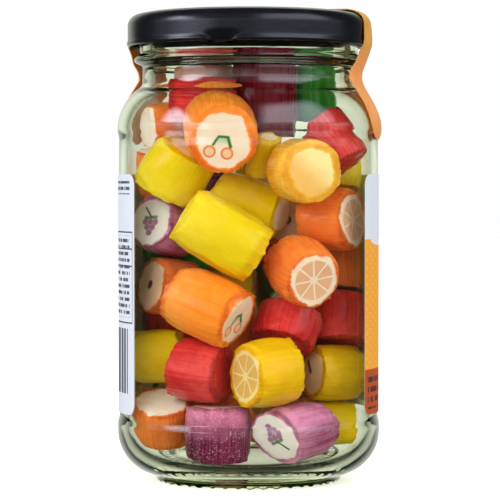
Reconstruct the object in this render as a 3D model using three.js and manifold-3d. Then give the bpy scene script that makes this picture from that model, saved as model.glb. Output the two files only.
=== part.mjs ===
// A screw-top glass jar filled with cut rock candy, with a wrap-round paper label and a paper seal over the lid.
// Millimetres, +Z up. The origin is the centre of the ring that the jar stands on.
// Azimuths are in degrees, from 0 at -Y, where the label is open and the candy shows, through 90 at +X.

import * as THREE from "three";
import { mergeVertices } from "three/addons/utils/BufferGeometryUtils.js";
import Module from "manifold-3d";

const wasm = await Module();
wasm.setup();

// ---- Driving dimensions -------------------------------------------------------------------------

// Glass, outside
const PANEL_R = 35.4; // the straight wall behind the label
const BULGE_R = 35.8; // the two rounds that stand proud above and below the label
const HEEL_ROUND = 12; // radius of the round from wall to base
const HEEL_TOP_Z = 13.6;
const LOWER_BULGE_TOP_Z = 16.2;
const PANEL_BOTTOM_Z = 17.6;
const PANEL_TOP_Z = 92.8;
const SHOULDER_Z = 95.5; // the widest height of the shoulder
const SHOULDER_ROUND = 14;
const NECK_R = 29.0;
const NECK_BOTTOM_Z = 108.6;
const NECK_TOP_Z = 112.8;
const BEAD_R = 31.2;
const BEAD_Z = 114.5;
const BEAD_HALF_HEIGHT = 1.1;
const FINISH_R = 29.9; // the cylinder that carries the thread
const RIM_Z = 126.2;

// Glass, foot
const FOOT_R = 25.3;
const FOOT_INNER_R = 22.4;
const FOOT_STEP_Z = 1.3;
const PUSH_UP_R = 20.8;
const PUSH_UP_Z = 2.2;

// Glass, inside
const BORE_R = 33.1;
const FLOOR_Z = 5.2;
const FLOOR_CROWN = 0.7;
const FLOOR_ROUND = 9.5;
const MOUTH_R = 26.3;

// Thread
const THREAD_STARTS = 4;
const THREAD_SPAN_DEG = 62;
const THREAD_LOW_Z = 121.2;
const THREAD_RISE = 2.0;
const THREAD_CREST_R = 31.1;

// Lid
const LID_TOP_Z = 127.3;
const LID_SKIRT_R = 33.0;
const LID_ROUND = 3.2;
const LID_SHEET = 0.5;
const LID_CURL_R = 0.75;
const LID_BOTTOM_Z = 118.2;
const LID_RIM_R = 27.8;
const LID_PANEL_R = 25.4;
const LID_PANEL_DROP = 0.7;
const LUG_COUNT = 4;
const LUG_FIRST_AZIMUTH = -12.3;
const LUG_HALF_WIDTH_DEG = 9.5;
const LUG_PUSH_IN = 1.5;
const LUG_PUSH_DOWN = 0.9;

// Label
const LABEL_BOTTOM_Z = 18.9;
const LABEL_TOP_Z = 83.4;
const LABEL_START_AZIMUTH = 61;
const LABEL_END_AZIMUTH = 301;
const LABEL_CORNER = 3;
const LABEL_GAP = 0.06;
const LABEL_PAPER = 0.2;

// Seal: a straight strip over the lid, a little off its centre, and down both sides to a round end
const SEAL_HALF_WIDTH = 7;
const SEAL_PAPER = 0.25;
const SEAL_MIDDLE_AZIMUTH = 163.5; // the point of the strip's middle line that is nearest the axis
const SEAL_OFFSET = 4.35; // how far that point is from the axis
const SEAL_SLIDE = 2.7; // how far the strip works its way forward on its way down to the neck
const SEAL_SLIDE_LENGTH = 16;

// Candy
const HEAP_TOP_Z = 114.2;
const HEAP_GAP = 0.4;
const HEAP_HOLLOW = 1.7; // how deep the gaps between pieces go in from the wall
const HEAP_TOP_RELIEF = 2.6;
const PIECE_PITCH_Z = 17; // the usual height from one piece to the next

const GLASS_SEGMENTS = 36;
const LID_SEGMENTS = 60;
const HEAP_SEGMENTS = 36;

// ---- Small helpers ------------------------------------------------------------------------------

const rad = THREE.MathUtils.degToRad;
const lerp = THREE.MathUtils.lerp;

function point(r, z) {
  return new THREE.Vector2(r, z);
}

// Points on a round, from one angle to another, in degrees from straight out.
function arc(centreR, centreZ, radius, fromDeg, toDeg, steps) {
  return Array.from({ length: steps + 1 }, (_, i) => {
    const a = rad(lerp(fromDeg, toDeg, i / steps));
    return point(centreR + radius * Math.cos(a), centreZ + radius * Math.sin(a));
  });
}

// A place at a radius, an azimuth in degrees and a height.
function polar(r, azimuthDeg, z) {
  return [r * Math.sin(rad(azimuthDeg)), -r * Math.cos(rad(azimuthDeg)), z];
}

function azimuthOf(x, y) {
  return THREE.MathUtils.radToDeg(Math.atan2(x, -y));
}

// Turns a profile of radius and height round the Z axis.
function revolve(profile, segments) {
  return new THREE.LatheGeometry(profile, segments).rotateX(Math.PI / 2);
}

function geometryFrom(vertices, triangles) {
  const geometry = new THREE.BufferGeometry();
  geometry.setAttribute("position", new THREE.Float32BufferAttribute(vertices.flat(), 3));
  geometry.setIndex(triangles.flat());
  return geometry;
}

// A closed sheet between two grids of rows and columns: the outer face and the inner face.
function sheetBetween(outer, inner) {
  const rows = outer.length;
  const columns = outer[0].length;
  const at = (side, i, j) => side * rows * columns + i * columns + j;
  const triangles = [];
  const quad = (a, b, c, d) => triangles.push([a, b, c], [a, c, d]);
  for (let i = 0; i < rows - 1; i++) {
    for (let j = 0; j < columns - 1; j++) {
      quad(at(0, i, j), at(0, i, j + 1), at(0, i + 1, j + 1), at(0, i + 1, j));
      quad(at(1, i, j), at(1, i + 1, j), at(1, i + 1, j + 1), at(1, i, j + 1));
    }
    quad(at(0, i, 0), at(0, i + 1, 0), at(1, i + 1, 0), at(1, i, 0));
    const last = columns - 1;
    quad(at(0, i + 1, last), at(0, i, last), at(1, i, last), at(1, i + 1, last));
  }
  for (let j = 0; j < columns - 1; j++) {
    quad(at(0, 0, j + 1), at(0, 0, j), at(1, 0, j), at(1, 0, j + 1));
    const last = rows - 1;
    quad(at(0, last, j), at(0, last, j + 1), at(1, last, j + 1), at(1, last, j));
  }
  return geometryFrom([...outer.flat(), ...inner.flat()], triangles);
}

function solidFrom(geometry) {
  const bare = geometry.clone();
  bare.deleteAttribute("normal");
  bare.deleteAttribute("uv");
  const merged = mergeVertices(bare, 1e-4);
  return new wasm.Manifold(
    new wasm.Mesh({
      numProp: 3,
      vertProperties: new Float32Array(merged.attributes.position.array),
      triVerts: new Uint32Array(merged.index.array),
    }),
  );
}

function geometryOf(solid) {
  const mesh = solid.getMesh();
  const geometry = new THREE.BufferGeometry();
  geometry.setAttribute("position", new THREE.BufferAttribute(mesh.vertProperties, 3));
  geometry.setIndex(new THREE.BufferAttribute(mesh.triVerts, 1));
  return geometry;
}

// ---- Glass --------------------------------------------------------------------------------------

// The shoulder's inner round, shared with the candy that lies against it.
const INNER_SHOULDER_ROUND = BORE_R - (BULGE_R - SHOULDER_ROUND);

function glassOutside() {
  const heel = arc(BULGE_R - HEEL_ROUND, HEEL_TOP_Z, HEEL_ROUND, -78, 0, 7);
  const shoulder = arc(BULGE_R - SHOULDER_ROUND, SHOULDER_Z, SHOULDER_ROUND, 0, 55, 6);
  const bead = arc(BEAD_R - BEAD_HALF_HEIGHT, BEAD_Z, BEAD_HALF_HEIGHT, -75, 75, 4);
  return [
    point(0, PUSH_UP_Z),
    point(PUSH_UP_R, PUSH_UP_Z - 0.8),
    point(FOOT_INNER_R, 0),
    point(FOOT_R - 0.3, 0),
    point(FOOT_R, 0.3),
    point(FOOT_R + 0.1, FOOT_STEP_Z),
    ...heel,
    point(BULGE_R, LOWER_BULGE_TOP_Z),
    point(PANEL_R, PANEL_BOTTOM_Z),
    point(PANEL_R, PANEL_TOP_Z),
    ...shoulder,
    point(NECK_R + 0.15, NECK_BOTTOM_Z - 0.7),
    point(NECK_R, NECK_BOTTOM_Z),
    point(NECK_R, NECK_TOP_Z),
    ...bead,
    point(FINISH_R, BEAD_Z + BEAD_HALF_HEIGHT + 0.4),
    point(FINISH_R, RIM_Z - 1.2),
    point(FINISH_R - 0.4, RIM_Z - 0.3),
    point(FINISH_R - 1.2, RIM_Z),
  ];
}

function glassInside() {
  const shoulder = arc(BORE_R - INNER_SHOULDER_ROUND, SHOULDER_Z, INNER_SHOULDER_ROUND, 62, 0, 5);
  const heel = arc(BORE_R - FLOOR_ROUND, FLOOR_Z + FLOOR_ROUND, FLOOR_ROUND, 0, -90, 6);
  return [
    point(MOUTH_R + 0.9, RIM_Z),
    point(MOUTH_R + 0.2, RIM_Z - 0.5),
    point(MOUTH_R, RIM_Z - 1.4),
    point(MOUTH_R, NECK_BOTTOM_Z - 0.6),
    ...shoulder,
    ...heel,
    point(0, FLOOR_Z + FLOOR_CROWN),
  ];
}

// One raised thread, sunk into the neck at its root and fading out at both ends.
function threadRib(startAzimuth) {
  const steps = 10;
  const rootR = (MOUTH_R + FINISH_R) / 2;
  const rootHalf = 1.0;
  const crestHalf = 0.4;
  const outer = [];
  const inner = [];
  for (let i = 0; i <= steps; i++) {
    const share = i / steps;
    const azimuth = startAzimuth + share * THREAD_SPAN_DEG;
    const z = THREAD_LOW_Z + share * THREAD_RISE;
    const fade = Math.min(1, 5 * share, 5 * (1 - share));
    const crestR = lerp(FINISH_R - 0.3, THREAD_CREST_R, fade);
    outer.push([polar(crestR, azimuth, z + crestHalf), polar(crestR, azimuth, z - crestHalf)]);
    inner.push([polar(rootR, azimuth, z + rootHalf), polar(rootR, azimuth, z - rootHalf)]);
  }
  return solidFrom(sheetBetween(outer, inner));
}

function makeGlass() {
  let glass = solidFrom(revolve([...glassOutside(), ...glassInside()], GLASS_SEGMENTS));
  for (let i = 0; i < THREAD_STARTS; i++) {
    glass = glass.add(threadRib(LUG_FIRST_AZIMUTH + 15 + (360 / THREAD_STARTS) * i));
  }
  return geometryOf(glass);
}

// ---- Lid ----------------------------------------------------------------------------------------

function lidProfile() {
  const outerR = LID_SKIRT_R;
  const innerR = LID_SKIRT_R - LID_SHEET;
  const roundTopZ = LID_TOP_Z - 0.4;
  const curlR = innerR + 0.25 - LID_CURL_R + LID_SHEET;
  const curlZ = LID_BOTTOM_Z + LID_CURL_R;
  const roundOut = arc(outerR - LID_ROUND, roundTopZ - LID_ROUND, LID_ROUND, 0, 90, 4);
  const roundIn = arc(outerR - LID_ROUND, roundTopZ - LID_ROUND, LID_ROUND - LID_SHEET, 90, 0, 3);
  const panelZ = LID_TOP_Z - LID_PANEL_DROP;
  return [
    ...arc(curlR, curlZ, LID_CURL_R, -120, 30, 4),
    point(outerR, curlZ + 1.3),
    ...roundOut,
    point(LID_RIM_R + 0.5, LID_TOP_Z),
    point(LID_RIM_R - 0.6, LID_TOP_Z),
    point(LID_PANEL_R, panelZ),
    point(0, panelZ + 0.25),
    point(0, panelZ + 0.25 - LID_SHEET),
    point(LID_PANEL_R - 0.3, panelZ - LID_SHEET),
    point(LID_RIM_R - 0.8, LID_TOP_Z - LID_SHEET),
    ...roundIn,
    point(innerR, curlZ + LID_CURL_R),
    point(curlR - LID_CURL_R, curlZ),
  ];
}

// How strongly a lug shapes the skirt at an azimuth, from 0 between lugs to 1 at its middle.
function lugShare(azimuth) {
  const pitch = 360 / LUG_COUNT;
  const turn = THREE.MathUtils.euclideanModulo(azimuth - LUG_FIRST_AZIMUTH + pitch / 2, pitch);
  const away = Math.abs(turn - pitch / 2) / LUG_HALF_WIDTH_DEG;
  return away >= 1 ? 0 : 0.5 + 0.5 * Math.cos(Math.PI * away);
}

function makeLid() {
  const profile = lidProfile();
  const axisEnds = profile.filter((p) => p.x === 0);
  const start = profile.indexOf(axisEnds[1]);
  const ordered = [...profile.slice(start), ...profile.slice(0, start)];
  const geometry = revolve(ordered, LID_SEGMENTS);
  const position = geometry.attributes.position;
  const lugTopZ = LID_BOTTOM_Z + 3.2;
  for (let i = 0; i < position.count; i++) {
    const [x, y, z] = [position.getX(i), position.getY(i), position.getZ(i)];
    const r = Math.hypot(x, y);
    if (z > lugTopZ || r < MOUTH_R) continue;
    const low = Math.min(1, (lugTopZ - z) / 2.2);
    const push = lugShare(azimuthOf(x, y)) * low * low;
    const scale = (r - LUG_PUSH_IN * push) / r;
    position.setXYZ(i, x * scale, y * scale, z - LUG_PUSH_DOWN * push);
  }
  return geometry;
}

// ---- Label --------------------------------------------------------------------------------------

// How far the paper's corners take the edge in from the label's top or bottom, along the wall.
function cornerInset(distanceFromEnd) {
  if (distanceFromEnd >= LABEL_CORNER) return 0;
  const across = LABEL_CORNER - distanceFromEnd;
  return LABEL_CORNER - Math.sqrt(LABEL_CORNER ** 2 - across ** 2);
}

function makeLabel() {
  const steps = 48;
  const innerR = PANEL_R + LABEL_GAP;
  const outerR = innerR + LABEL_PAPER;
  const length = rad(LABEL_END_AZIMUTH - LABEL_START_AZIMUTH) * innerR;
  const cornerSteps = [0, 0.1, 0.35, 1];
  const distances = [
    ...cornerSteps.map((share) => share * LABEL_CORNER),
    ...Array.from({ length: steps - 1 }, (_, i) =>
      lerp(LABEL_CORNER, length - LABEL_CORNER, (i + 1) / steps),
    ),
    ...cornerSteps.map((share) => length - share * LABEL_CORNER).reverse(),
  ];
  const outer = [];
  const inner = [];
  for (const distance of distances) {
    const azimuth = LABEL_START_AZIMUTH + THREE.MathUtils.radToDeg(distance / innerR);
    const inset = cornerInset(Math.min(distance, length - distance));
    const heights = [LABEL_TOP_Z - inset, LABEL_BOTTOM_Z + inset];
    outer.push(heights.map((z) => polar(outerR, azimuth, z)));
    inner.push(heights.map((z) => polar(innerR, azimuth, z)));
  }
  return sheetBetween(outer, inner);
}

// ---- Seal ---------------------------------------------------------------------------------------

// The strip's outer face along its middle: radius, height, and how much nearer the jar its edges lie.
const SEAL_SIDE = [
  [28.6, 127.95, 0.0],
  [30.4, 127.7, 0.1],
  [31.9, 127.05, 0.15],
  [33.1, 125.9, 0.2],
  [33.65, 124.3, 0.2],
  [33.8, 122.0, 0.2],
  [33.95, 119.8, 0.15],
  [33.9, 118.4, 0.15],
  [33.3, 116.0, 0.6],
  [32.3, 113.5, 0.3],
  [31.6, 111.2, 1.0],
  [31.4, 109.4, 1.2],
  [31.8, 107.4, 0.3],
  [33.2, 105.0, 0.15],
  [34.6, 102.6, 0.15],
  [35.75, 100.0, 0.15],
  [36.35, 97.8, 0.15],
  [36.5, 96.0, 0.15],
  [36.4, 94.4, 0.1],
  [36.15, 93.3, 0.1],
  [35.98, 92.7, 0.0],
];

// Half the strip's width, which rounds off over its last stretch.
function sealHalfWidth(distanceToEnd) {
  const along = Math.min(1, (SEAL_HALF_WIDTH - distanceToEnd) / SEAL_HALF_WIDTH);
  if (along <= 0) return SEAL_HALF_WIDTH;
  return SEAL_HALF_WIDTH * Math.sqrt(Math.max(0.012, 1 - along * along));
}

// One side of the strip, from the lid's rim down, as rows of outer and inner places. turn is 1 on the right.
function sealSide(turn) {
  const count = SEAL_SIDE.length;
  const lengths = [0];
  for (let i = 1; i < count; i++) {
    const [r0, z0] = SEAL_SIDE[i - 1];
    const [r1, z1] = SEAL_SIDE[i];
    lengths.push(lengths[i - 1] + Math.hypot(r1 - r0, z1 - z0));
  }
  const skirtTop = 3; // from this row down the strip works its way forward
  const rows = [];
  for (let i = 0; i < count; i++) {
    const [r, z, crown] = SEAL_SIDE[i];
    const [rBefore, zBefore] = SEAL_SIDE[Math.max(0, i - 1)];
    const [rAfter, zAfter] = SEAL_SIDE[Math.min(count - 1, i + 1)];
    const run = Math.hypot(rAfter - rBefore, zAfter - zBefore);
    const normal = [(zBefore - zAfter) / run, (rAfter - rBefore) / run];
    const down = THREE.MathUtils.smoothstep(lengths[i] - lengths[skirtTop], 0, SEAL_SLIDE_LENGTH);
    const spread = THREE.MathUtils.radToDeg(Math.acos((SEAL_OFFSET - SEAL_SLIDE * down) / r));
    const middle = SEAL_MIDDLE_AZIMUTH - turn * spread;
    const half = sealHalfWidth(lengths[count - 1] - lengths[i]);
    const outer = [];
    const inner = [];
    for (const across of [-1, -0.5, 0, 0.5, 1]) {
      const azimuth = middle + THREE.MathUtils.radToDeg((turn * across * half) / r);
      const drop = crown * across * across;
      outer.push(polar(r - drop * normal[0], azimuth, z - drop * normal[1]));
      const depth = drop + SEAL_PAPER;
      inner.push(polar(r - depth * normal[0], azimuth, z - depth * normal[1]));
    }
    rows.push({ outer, inner });
  }
  return rows;
}

function makeSeal() {
  const right = sealSide(1);
  const left = sealSide(-1);
  const steps = 4;
  const bridge = [];
  for (let i = 1; i < steps; i++) {
    const between = (from, to) =>
      from.map((p, j) => p.map((value, k) => lerp(value, to[j][k], i / steps)));
    bridge.push({
      outer: between(right[0].outer, left[0].outer),
      inner: between(right[0].inner, left[0].inner),
    });
  }
  const rows = [...right.reverse(), ...bridge, ...left];
  return sheetBetween(
    rows.map((row) => row.outer),
    rows.map((row) => row.inner),
  );
}

// ---- Candy --------------------------------------------------------------------------------------

// How far in from the wall the heap lies, from 0 on a piece to 1 in a gap between pieces.
function gapShare(azimuth, z) {
  const level = z / PIECE_PITCH_Z;
  const around = rad(azimuth);
  const first = Math.sin(7 * around + 2.4 * Math.sin(1.3 * level));
  const second = Math.cos(2 * Math.PI * level + 2.1 * Math.sin(3 * around));
  return 0.5 - 0.25 * first - 0.25 * second;
}

function heapWall() {
  const shoulderEnd = 58;
  const bottom = arc(BORE_R - FLOOR_ROUND, FLOOR_Z + FLOOR_ROUND, FLOOR_ROUND - HEAP_GAP, -75, 0, 4);
  const straight = Array.from({ length: 9 }, (_, i) =>
    point(BORE_R - HEAP_GAP, lerp(FLOOR_Z + FLOOR_ROUND, SHOULDER_Z, (i + 1) / 9)),
  );
  const shoulder = arc(
    BORE_R - INNER_SHOULDER_ROUND,
    SHOULDER_Z,
    INNER_SHOULDER_ROUND - HEAP_GAP,
    0,
    shoulderEnd,
    4,
  );
  return [...bottom, ...straight, ...shoulder.slice(1), point(MOUTH_R - HEAP_GAP - 0.3, NECK_BOTTOM_Z)];
}

function makeHeap() {
  const wall = heapWall();
  const rings = wall.map((p) => {
    return Array.from({ length: HEAP_SEGMENTS }, (_, i) => {
      const azimuth = (360 / HEAP_SEGMENTS) * i;
      const inward = HEAP_HOLLOW * gapShare(azimuth, p.y);
      return polar(p.x - inward, azimuth, p.y);
    });
  });
  for (const r of [MOUTH_R - 3, 18, 12, 6]) {
    rings.push(
      Array.from({ length: HEAP_SEGMENTS }, (_, i) => {
        const azimuth = (360 / HEAP_SEGMENTS) * i;
        const relief = HEAP_TOP_RELIEF * Math.sin(3 * rad(azimuth) + r / 5) * Math.cos(r / 7);
        const edgeDrop = r > 20 ? 1.8 : 0;
        return polar(r, azimuth, HEAP_TOP_Z - edgeDrop + relief);
      }),
    );
  }
  const vertices = rings.flat();
  const floorCentre = vertices.push([0, 0, FLOOR_Z + FLOOR_CROWN + HEAP_GAP]) - 1;
  const topCentre = vertices.push([0, 0, HEAP_TOP_Z + 1]) - 1;
  const at = (ring, i) => ring * HEAP_SEGMENTS + (i % HEAP_SEGMENTS);
  const triangles = [];
  for (let i = 0; i < HEAP_SEGMENTS; i++) {
    triangles.push([floorCentre, at(0, i + 1), at(0, i)]);
    triangles.push([topCentre, at(rings.length - 1, i), at(rings.length - 1, i + 1)]);
    for (let ring = 0; ring < rings.length - 1; ring++) {
      triangles.push([at(ring, i), at(ring, i + 1), at(ring + 1, i + 1)]);
      triangles.push([at(ring, i), at(ring + 1, i + 1), at(ring + 1, i)]);
    }
  }
  return geometryFrom(vertices, triangles);
}

// ---- The jar ------------------------------------------------------------------------------------

const materials = {
  glass: new THREE.MeshStandardMaterial({
    color: 0xdfeadd,
    roughness: 0.05,
    metalness: 0,
    transparent: true,
    opacity: 0.35,
  }),
  lid: new THREE.MeshStandardMaterial({ color: 0x17181c, roughness: 0.25, metalness: 0.3 }),
  label: new THREE.MeshStandardMaterial({ color: 0xf2a64a, roughness: 0.6, metalness: 0 }),
  seal: new THREE.MeshStandardMaterial({ color: 0xe3a04c, roughness: 0.5, metalness: 0 }),
  candy: new THREE.MeshStandardMaterial({ color: 0xe8702a, roughness: 0.35, metalness: 0 }),
};

const jar = new THREE.Group();

function addPiece(name, geometry, material) {
  const mesh = new THREE.Mesh(geometry, material);
  mesh.name = name;
  jar.add(mesh);
}

addPiece("jar_glass", makeGlass(), materials.glass);
addPiece("candy_heap", makeHeap(), materials.candy);
addPiece("lid", makeLid(), materials.lid);
addPiece("label", makeLabel(), materials.label);
addPiece("seal_strip", makeSeal(), materials.seal);

export default jar;
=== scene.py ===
"""A glass jar of cut rock candy, finished round its CAD frame: the glass, the pressed lid, the paper label and seal,
and every sweet as a piece of its own shape. Metres, +Z up, and -Y is where the label is open."""

import math
import random
from collections import namedtuple

import bmesh
import bpy
import numpy as np
from mathutils import Euler, Matrix, Quaternion, Vector


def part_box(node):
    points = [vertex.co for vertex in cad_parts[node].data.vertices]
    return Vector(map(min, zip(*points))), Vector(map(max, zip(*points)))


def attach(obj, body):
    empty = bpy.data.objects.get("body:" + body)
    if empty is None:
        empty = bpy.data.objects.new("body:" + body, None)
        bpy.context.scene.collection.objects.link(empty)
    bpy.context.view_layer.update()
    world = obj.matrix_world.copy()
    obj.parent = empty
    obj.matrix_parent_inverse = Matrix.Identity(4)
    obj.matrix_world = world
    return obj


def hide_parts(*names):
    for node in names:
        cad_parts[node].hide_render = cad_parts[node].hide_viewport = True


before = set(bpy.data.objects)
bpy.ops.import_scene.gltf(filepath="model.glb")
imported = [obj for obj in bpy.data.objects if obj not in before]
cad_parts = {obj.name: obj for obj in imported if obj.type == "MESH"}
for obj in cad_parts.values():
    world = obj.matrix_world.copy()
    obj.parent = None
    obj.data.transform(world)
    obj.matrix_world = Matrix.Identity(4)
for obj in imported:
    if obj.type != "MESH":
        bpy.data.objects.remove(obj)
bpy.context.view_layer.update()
scene = bpy.context.scene

MM = 0.001
TAU = 2 * math.pi

# ---- The photograph's view ----------------------------------------------------------------------

CAMERA_PLACE = Vector((0.0004, -0.6708, 0.0803))
CAMERA_PITCH = math.radians(1.5)
IMAGE_PX = 500
FOCAL_PX = 2450
SENSOR = 36
HORIZON_ROW = 186

# ---- Sizes, in millimetres ----------------------------------------------------------------------

_, GLASS_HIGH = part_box("jar_glass")
_, LID_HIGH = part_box("lid")
LABEL_LOW, LABEL_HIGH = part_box("label")

BULGE_R = GLASS_HIGH.y / MM
PANEL_R = BULGE_R - 0.4
PANEL_LOW_Z = 17.8
PANEL_HIGH_Z = 92.6
RIM_Z = GLASS_HIGH.z / MM
LID_TOP_Z = LID_HIGH.z / MM
HEEL_ROUND = 12
HEEL_TOP_Z = 13.6
SHOULDER_Z = 95.5
SHOULDER_ROUND = 14
NECK_R = 29.0
BEAD_R = 31.2
BEAD_Z = 114.5
BEAD_HALF_HEIGHT = 1.1
FINISH_R = 29.9
FINISH_LOW_Z = 116.6
RIM_ROUND = 1.2
FOOT_R = 25.3
FOOT_LIFT = 0.35  # the foot ring stands on small teeth of this height
FOOT_TEETH = 44
TOOTH_INNER_R = 22.9
TOOTH_SHARE = 0.3  # the share of the ring that the teeth take up
THREAD_HEIGHT = 1.2
THREAD_HALF_WIDTH = 0.95
THREAD_DEG = 62  # how far round the neck each thread runs
THREAD_LAG_DEG = 15  # how far past a lug of the lid it starts
THREAD_LOW_Z = 121.2
THREAD_CLIMB = 2.0
BORE_R = 33.1
FLOOR_Z = 5.2
FLOOR_ROUND = 9.5
MOUTH_R = 26.3
HEAP_TOP_Z = 116.6  # the sweets reach this far up the neck
INNER_SHOULDER_ROUND = BORE_R - (BULGE_R - SHOULDER_ROUND)

LID_SKIRT_R = 33.0
LID_ROUND = 3.2
LID_SHEET = 0.45
LID_CURL_R = 0.75
LID_BOTTOM_Z = 118.2
LUG_COUNT = 4
LUG_FIRST_AZIMUTH = -12.3
LUG_HALF_WIDTH_DEG = 9.5
LUG_TOP_Z = LID_BOTTOM_Z + 3.2
LUG_DROP = 0.9
LUG_PRESS = 1.4

LABEL_START_AZIMUTH = 61
LABEL_END_AZIMUTH = 301
LABEL_CORNER = 3


# ---- Modelling helpers --------------------------------------------------------------------------


def arc(centre_r, centre_z, radius, start, end, steps):
    """Places on a round of a profile, from one angle to another, in degrees from straight out."""
    turns = [math.radians(start + (end - start) * i / steps) for i in range(steps + 1)]
    return [(centre_r + radius * math.cos(a), centre_z + radius * math.sin(a)) for a in turns]


def azimuth_of(place):
    return math.degrees(math.atan2(place.x, -place.y))


def clear_selection():
    if bpy.context.mode != "OBJECT":
        bpy.ops.object.mode_set(mode="OBJECT")
    bpy.ops.object.select_all(action="DESELECT")


def pick(obj):
    clear_selection()
    obj.select_set(True)
    bpy.context.view_layer.objects.active = obj


def edit(obj):
    pick(obj)
    bpy.ops.object.mode_set(mode="EDIT")


def select_where(obj, test):
    """Selects the faces of a piece in edit mode whose middle and normal pass a test."""
    mesh = bmesh.from_edit_mesh(obj.data)
    bpy.ops.mesh.select_mode(type="FACE")
    for face in mesh.faces:
        face.select_set(test(face.calc_center_median(), face.normal))
    bmesh.update_edit_mesh(obj.data)


def select_edges(obj, test):
    """Selects the edges of a piece in edit mode whose two ends pass a test."""
    mesh = bmesh.from_edit_mesh(obj.data)
    bpy.ops.mesh.select_mode(type="EDGE")
    for edge in mesh.edges:
        edge.select_set(test(edge.verts[0].co, edge.verts[1].co))
    bmesh.update_edit_mesh(obj.data)


def modify(obj, kind, **settings):
    """Adds a modifier with its settings, and applies it."""
    modifier = obj.modifiers.new(kind.lower(), kind)
    for name, value in settings.items():
        setattr(modifier, name, value)
    pick(obj)
    bpy.ops.object.modifier_apply(modifier=modifier.name)


def clouds(name, size):
    """A cloudy pattern, of a size in millimetres, to push a surface by."""
    pattern = bpy.data.textures.new(name, "CLOUDS")
    pattern.noise_scale = size * MM
    return pattern


def rumple(obj, pattern, depth, **settings):
    """Pushes a surface in and out by a cloudy pattern, through a depth in millimetres."""
    modify(obj, "DISPLACE", texture=pattern, texture_coords="LOCAL", strength=depth * MM, **settings)


def named(obj, name):
    obj.name = name
    obj.data.name = name
    return obj


def turned(name, profile, steps):
    """A profile of radius and height in millimetres, drawn point by point and spun round the axis."""
    clear_selection()
    bpy.ops.mesh.primitive_plane_add(size=MM)
    obj = bpy.context.object
    bpy.ops.object.mode_set(mode="EDIT")
    bpy.ops.mesh.merge(type="CENTER")
    at = Vector((0, 0, 0))
    places = [Vector((r * MM, 0, z * MM)) for r, z in profile]
    bpy.ops.transform.translate(value=places[0] - at)
    for before, after in zip(places, places[1:]):
        bpy.ops.mesh.extrude_vertices_move(TRANSFORM_OT_translate={"value": after - before})
    bpy.ops.mesh.select_all(action="SELECT")
    bpy.ops.mesh.spin(steps=steps, angle=TAU, center=(0, 0, 0), axis=(0, 0, 1))
    bpy.ops.mesh.select_all(action="SELECT")
    bpy.ops.mesh.remove_doubles(threshold=0.002 * MM)
    bpy.ops.mesh.normals_make_consistent(inside=False)
    bpy.ops.object.mode_set(mode="OBJECT")
    return named(obj, name)


def press(obj, strength_at, depth, direction="NORMAL"):
    """Pushes a surface, by a depth in millimetres, as strongly as strength_at says at each place."""
    group = obj.vertex_groups.new(name="pressed")
    for vertex in obj.data.vertices:
        strength = strength_at(vertex.co)
        if strength > 0:
            group.add([vertex.index], strength, "REPLACE")
    modify(obj, "DISPLACE", vertex_group=group.name, direction=direction, mid_level=0, strength=depth * MM)
    obj.vertex_groups.clear()


def smooth(obj, angle=35):
    pick(obj)
    bpy.ops.object.shade_smooth_by_angle(angle=math.radians(angle))


def bump(distance, reach):
    """A smooth rise from 0 at the reach to 1 in the middle."""
    share = min(1, abs(distance) / reach)
    return 0.5 + 0.5 * math.cos(math.pi * share)


# ---- Shader helpers -----------------------------------------------------------------------------


def colour(red, green, blue):
    """A colour named by its 0 to 255 values on screen, as the linear light that the shaders work in."""

    def linear(value):
        share = value / 255
        return share / 12.92 if share <= 0.04045 else ((share + 0.055) / 1.055) ** 2.4

    return (linear(red), linear(green), linear(blue), 1)


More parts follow.
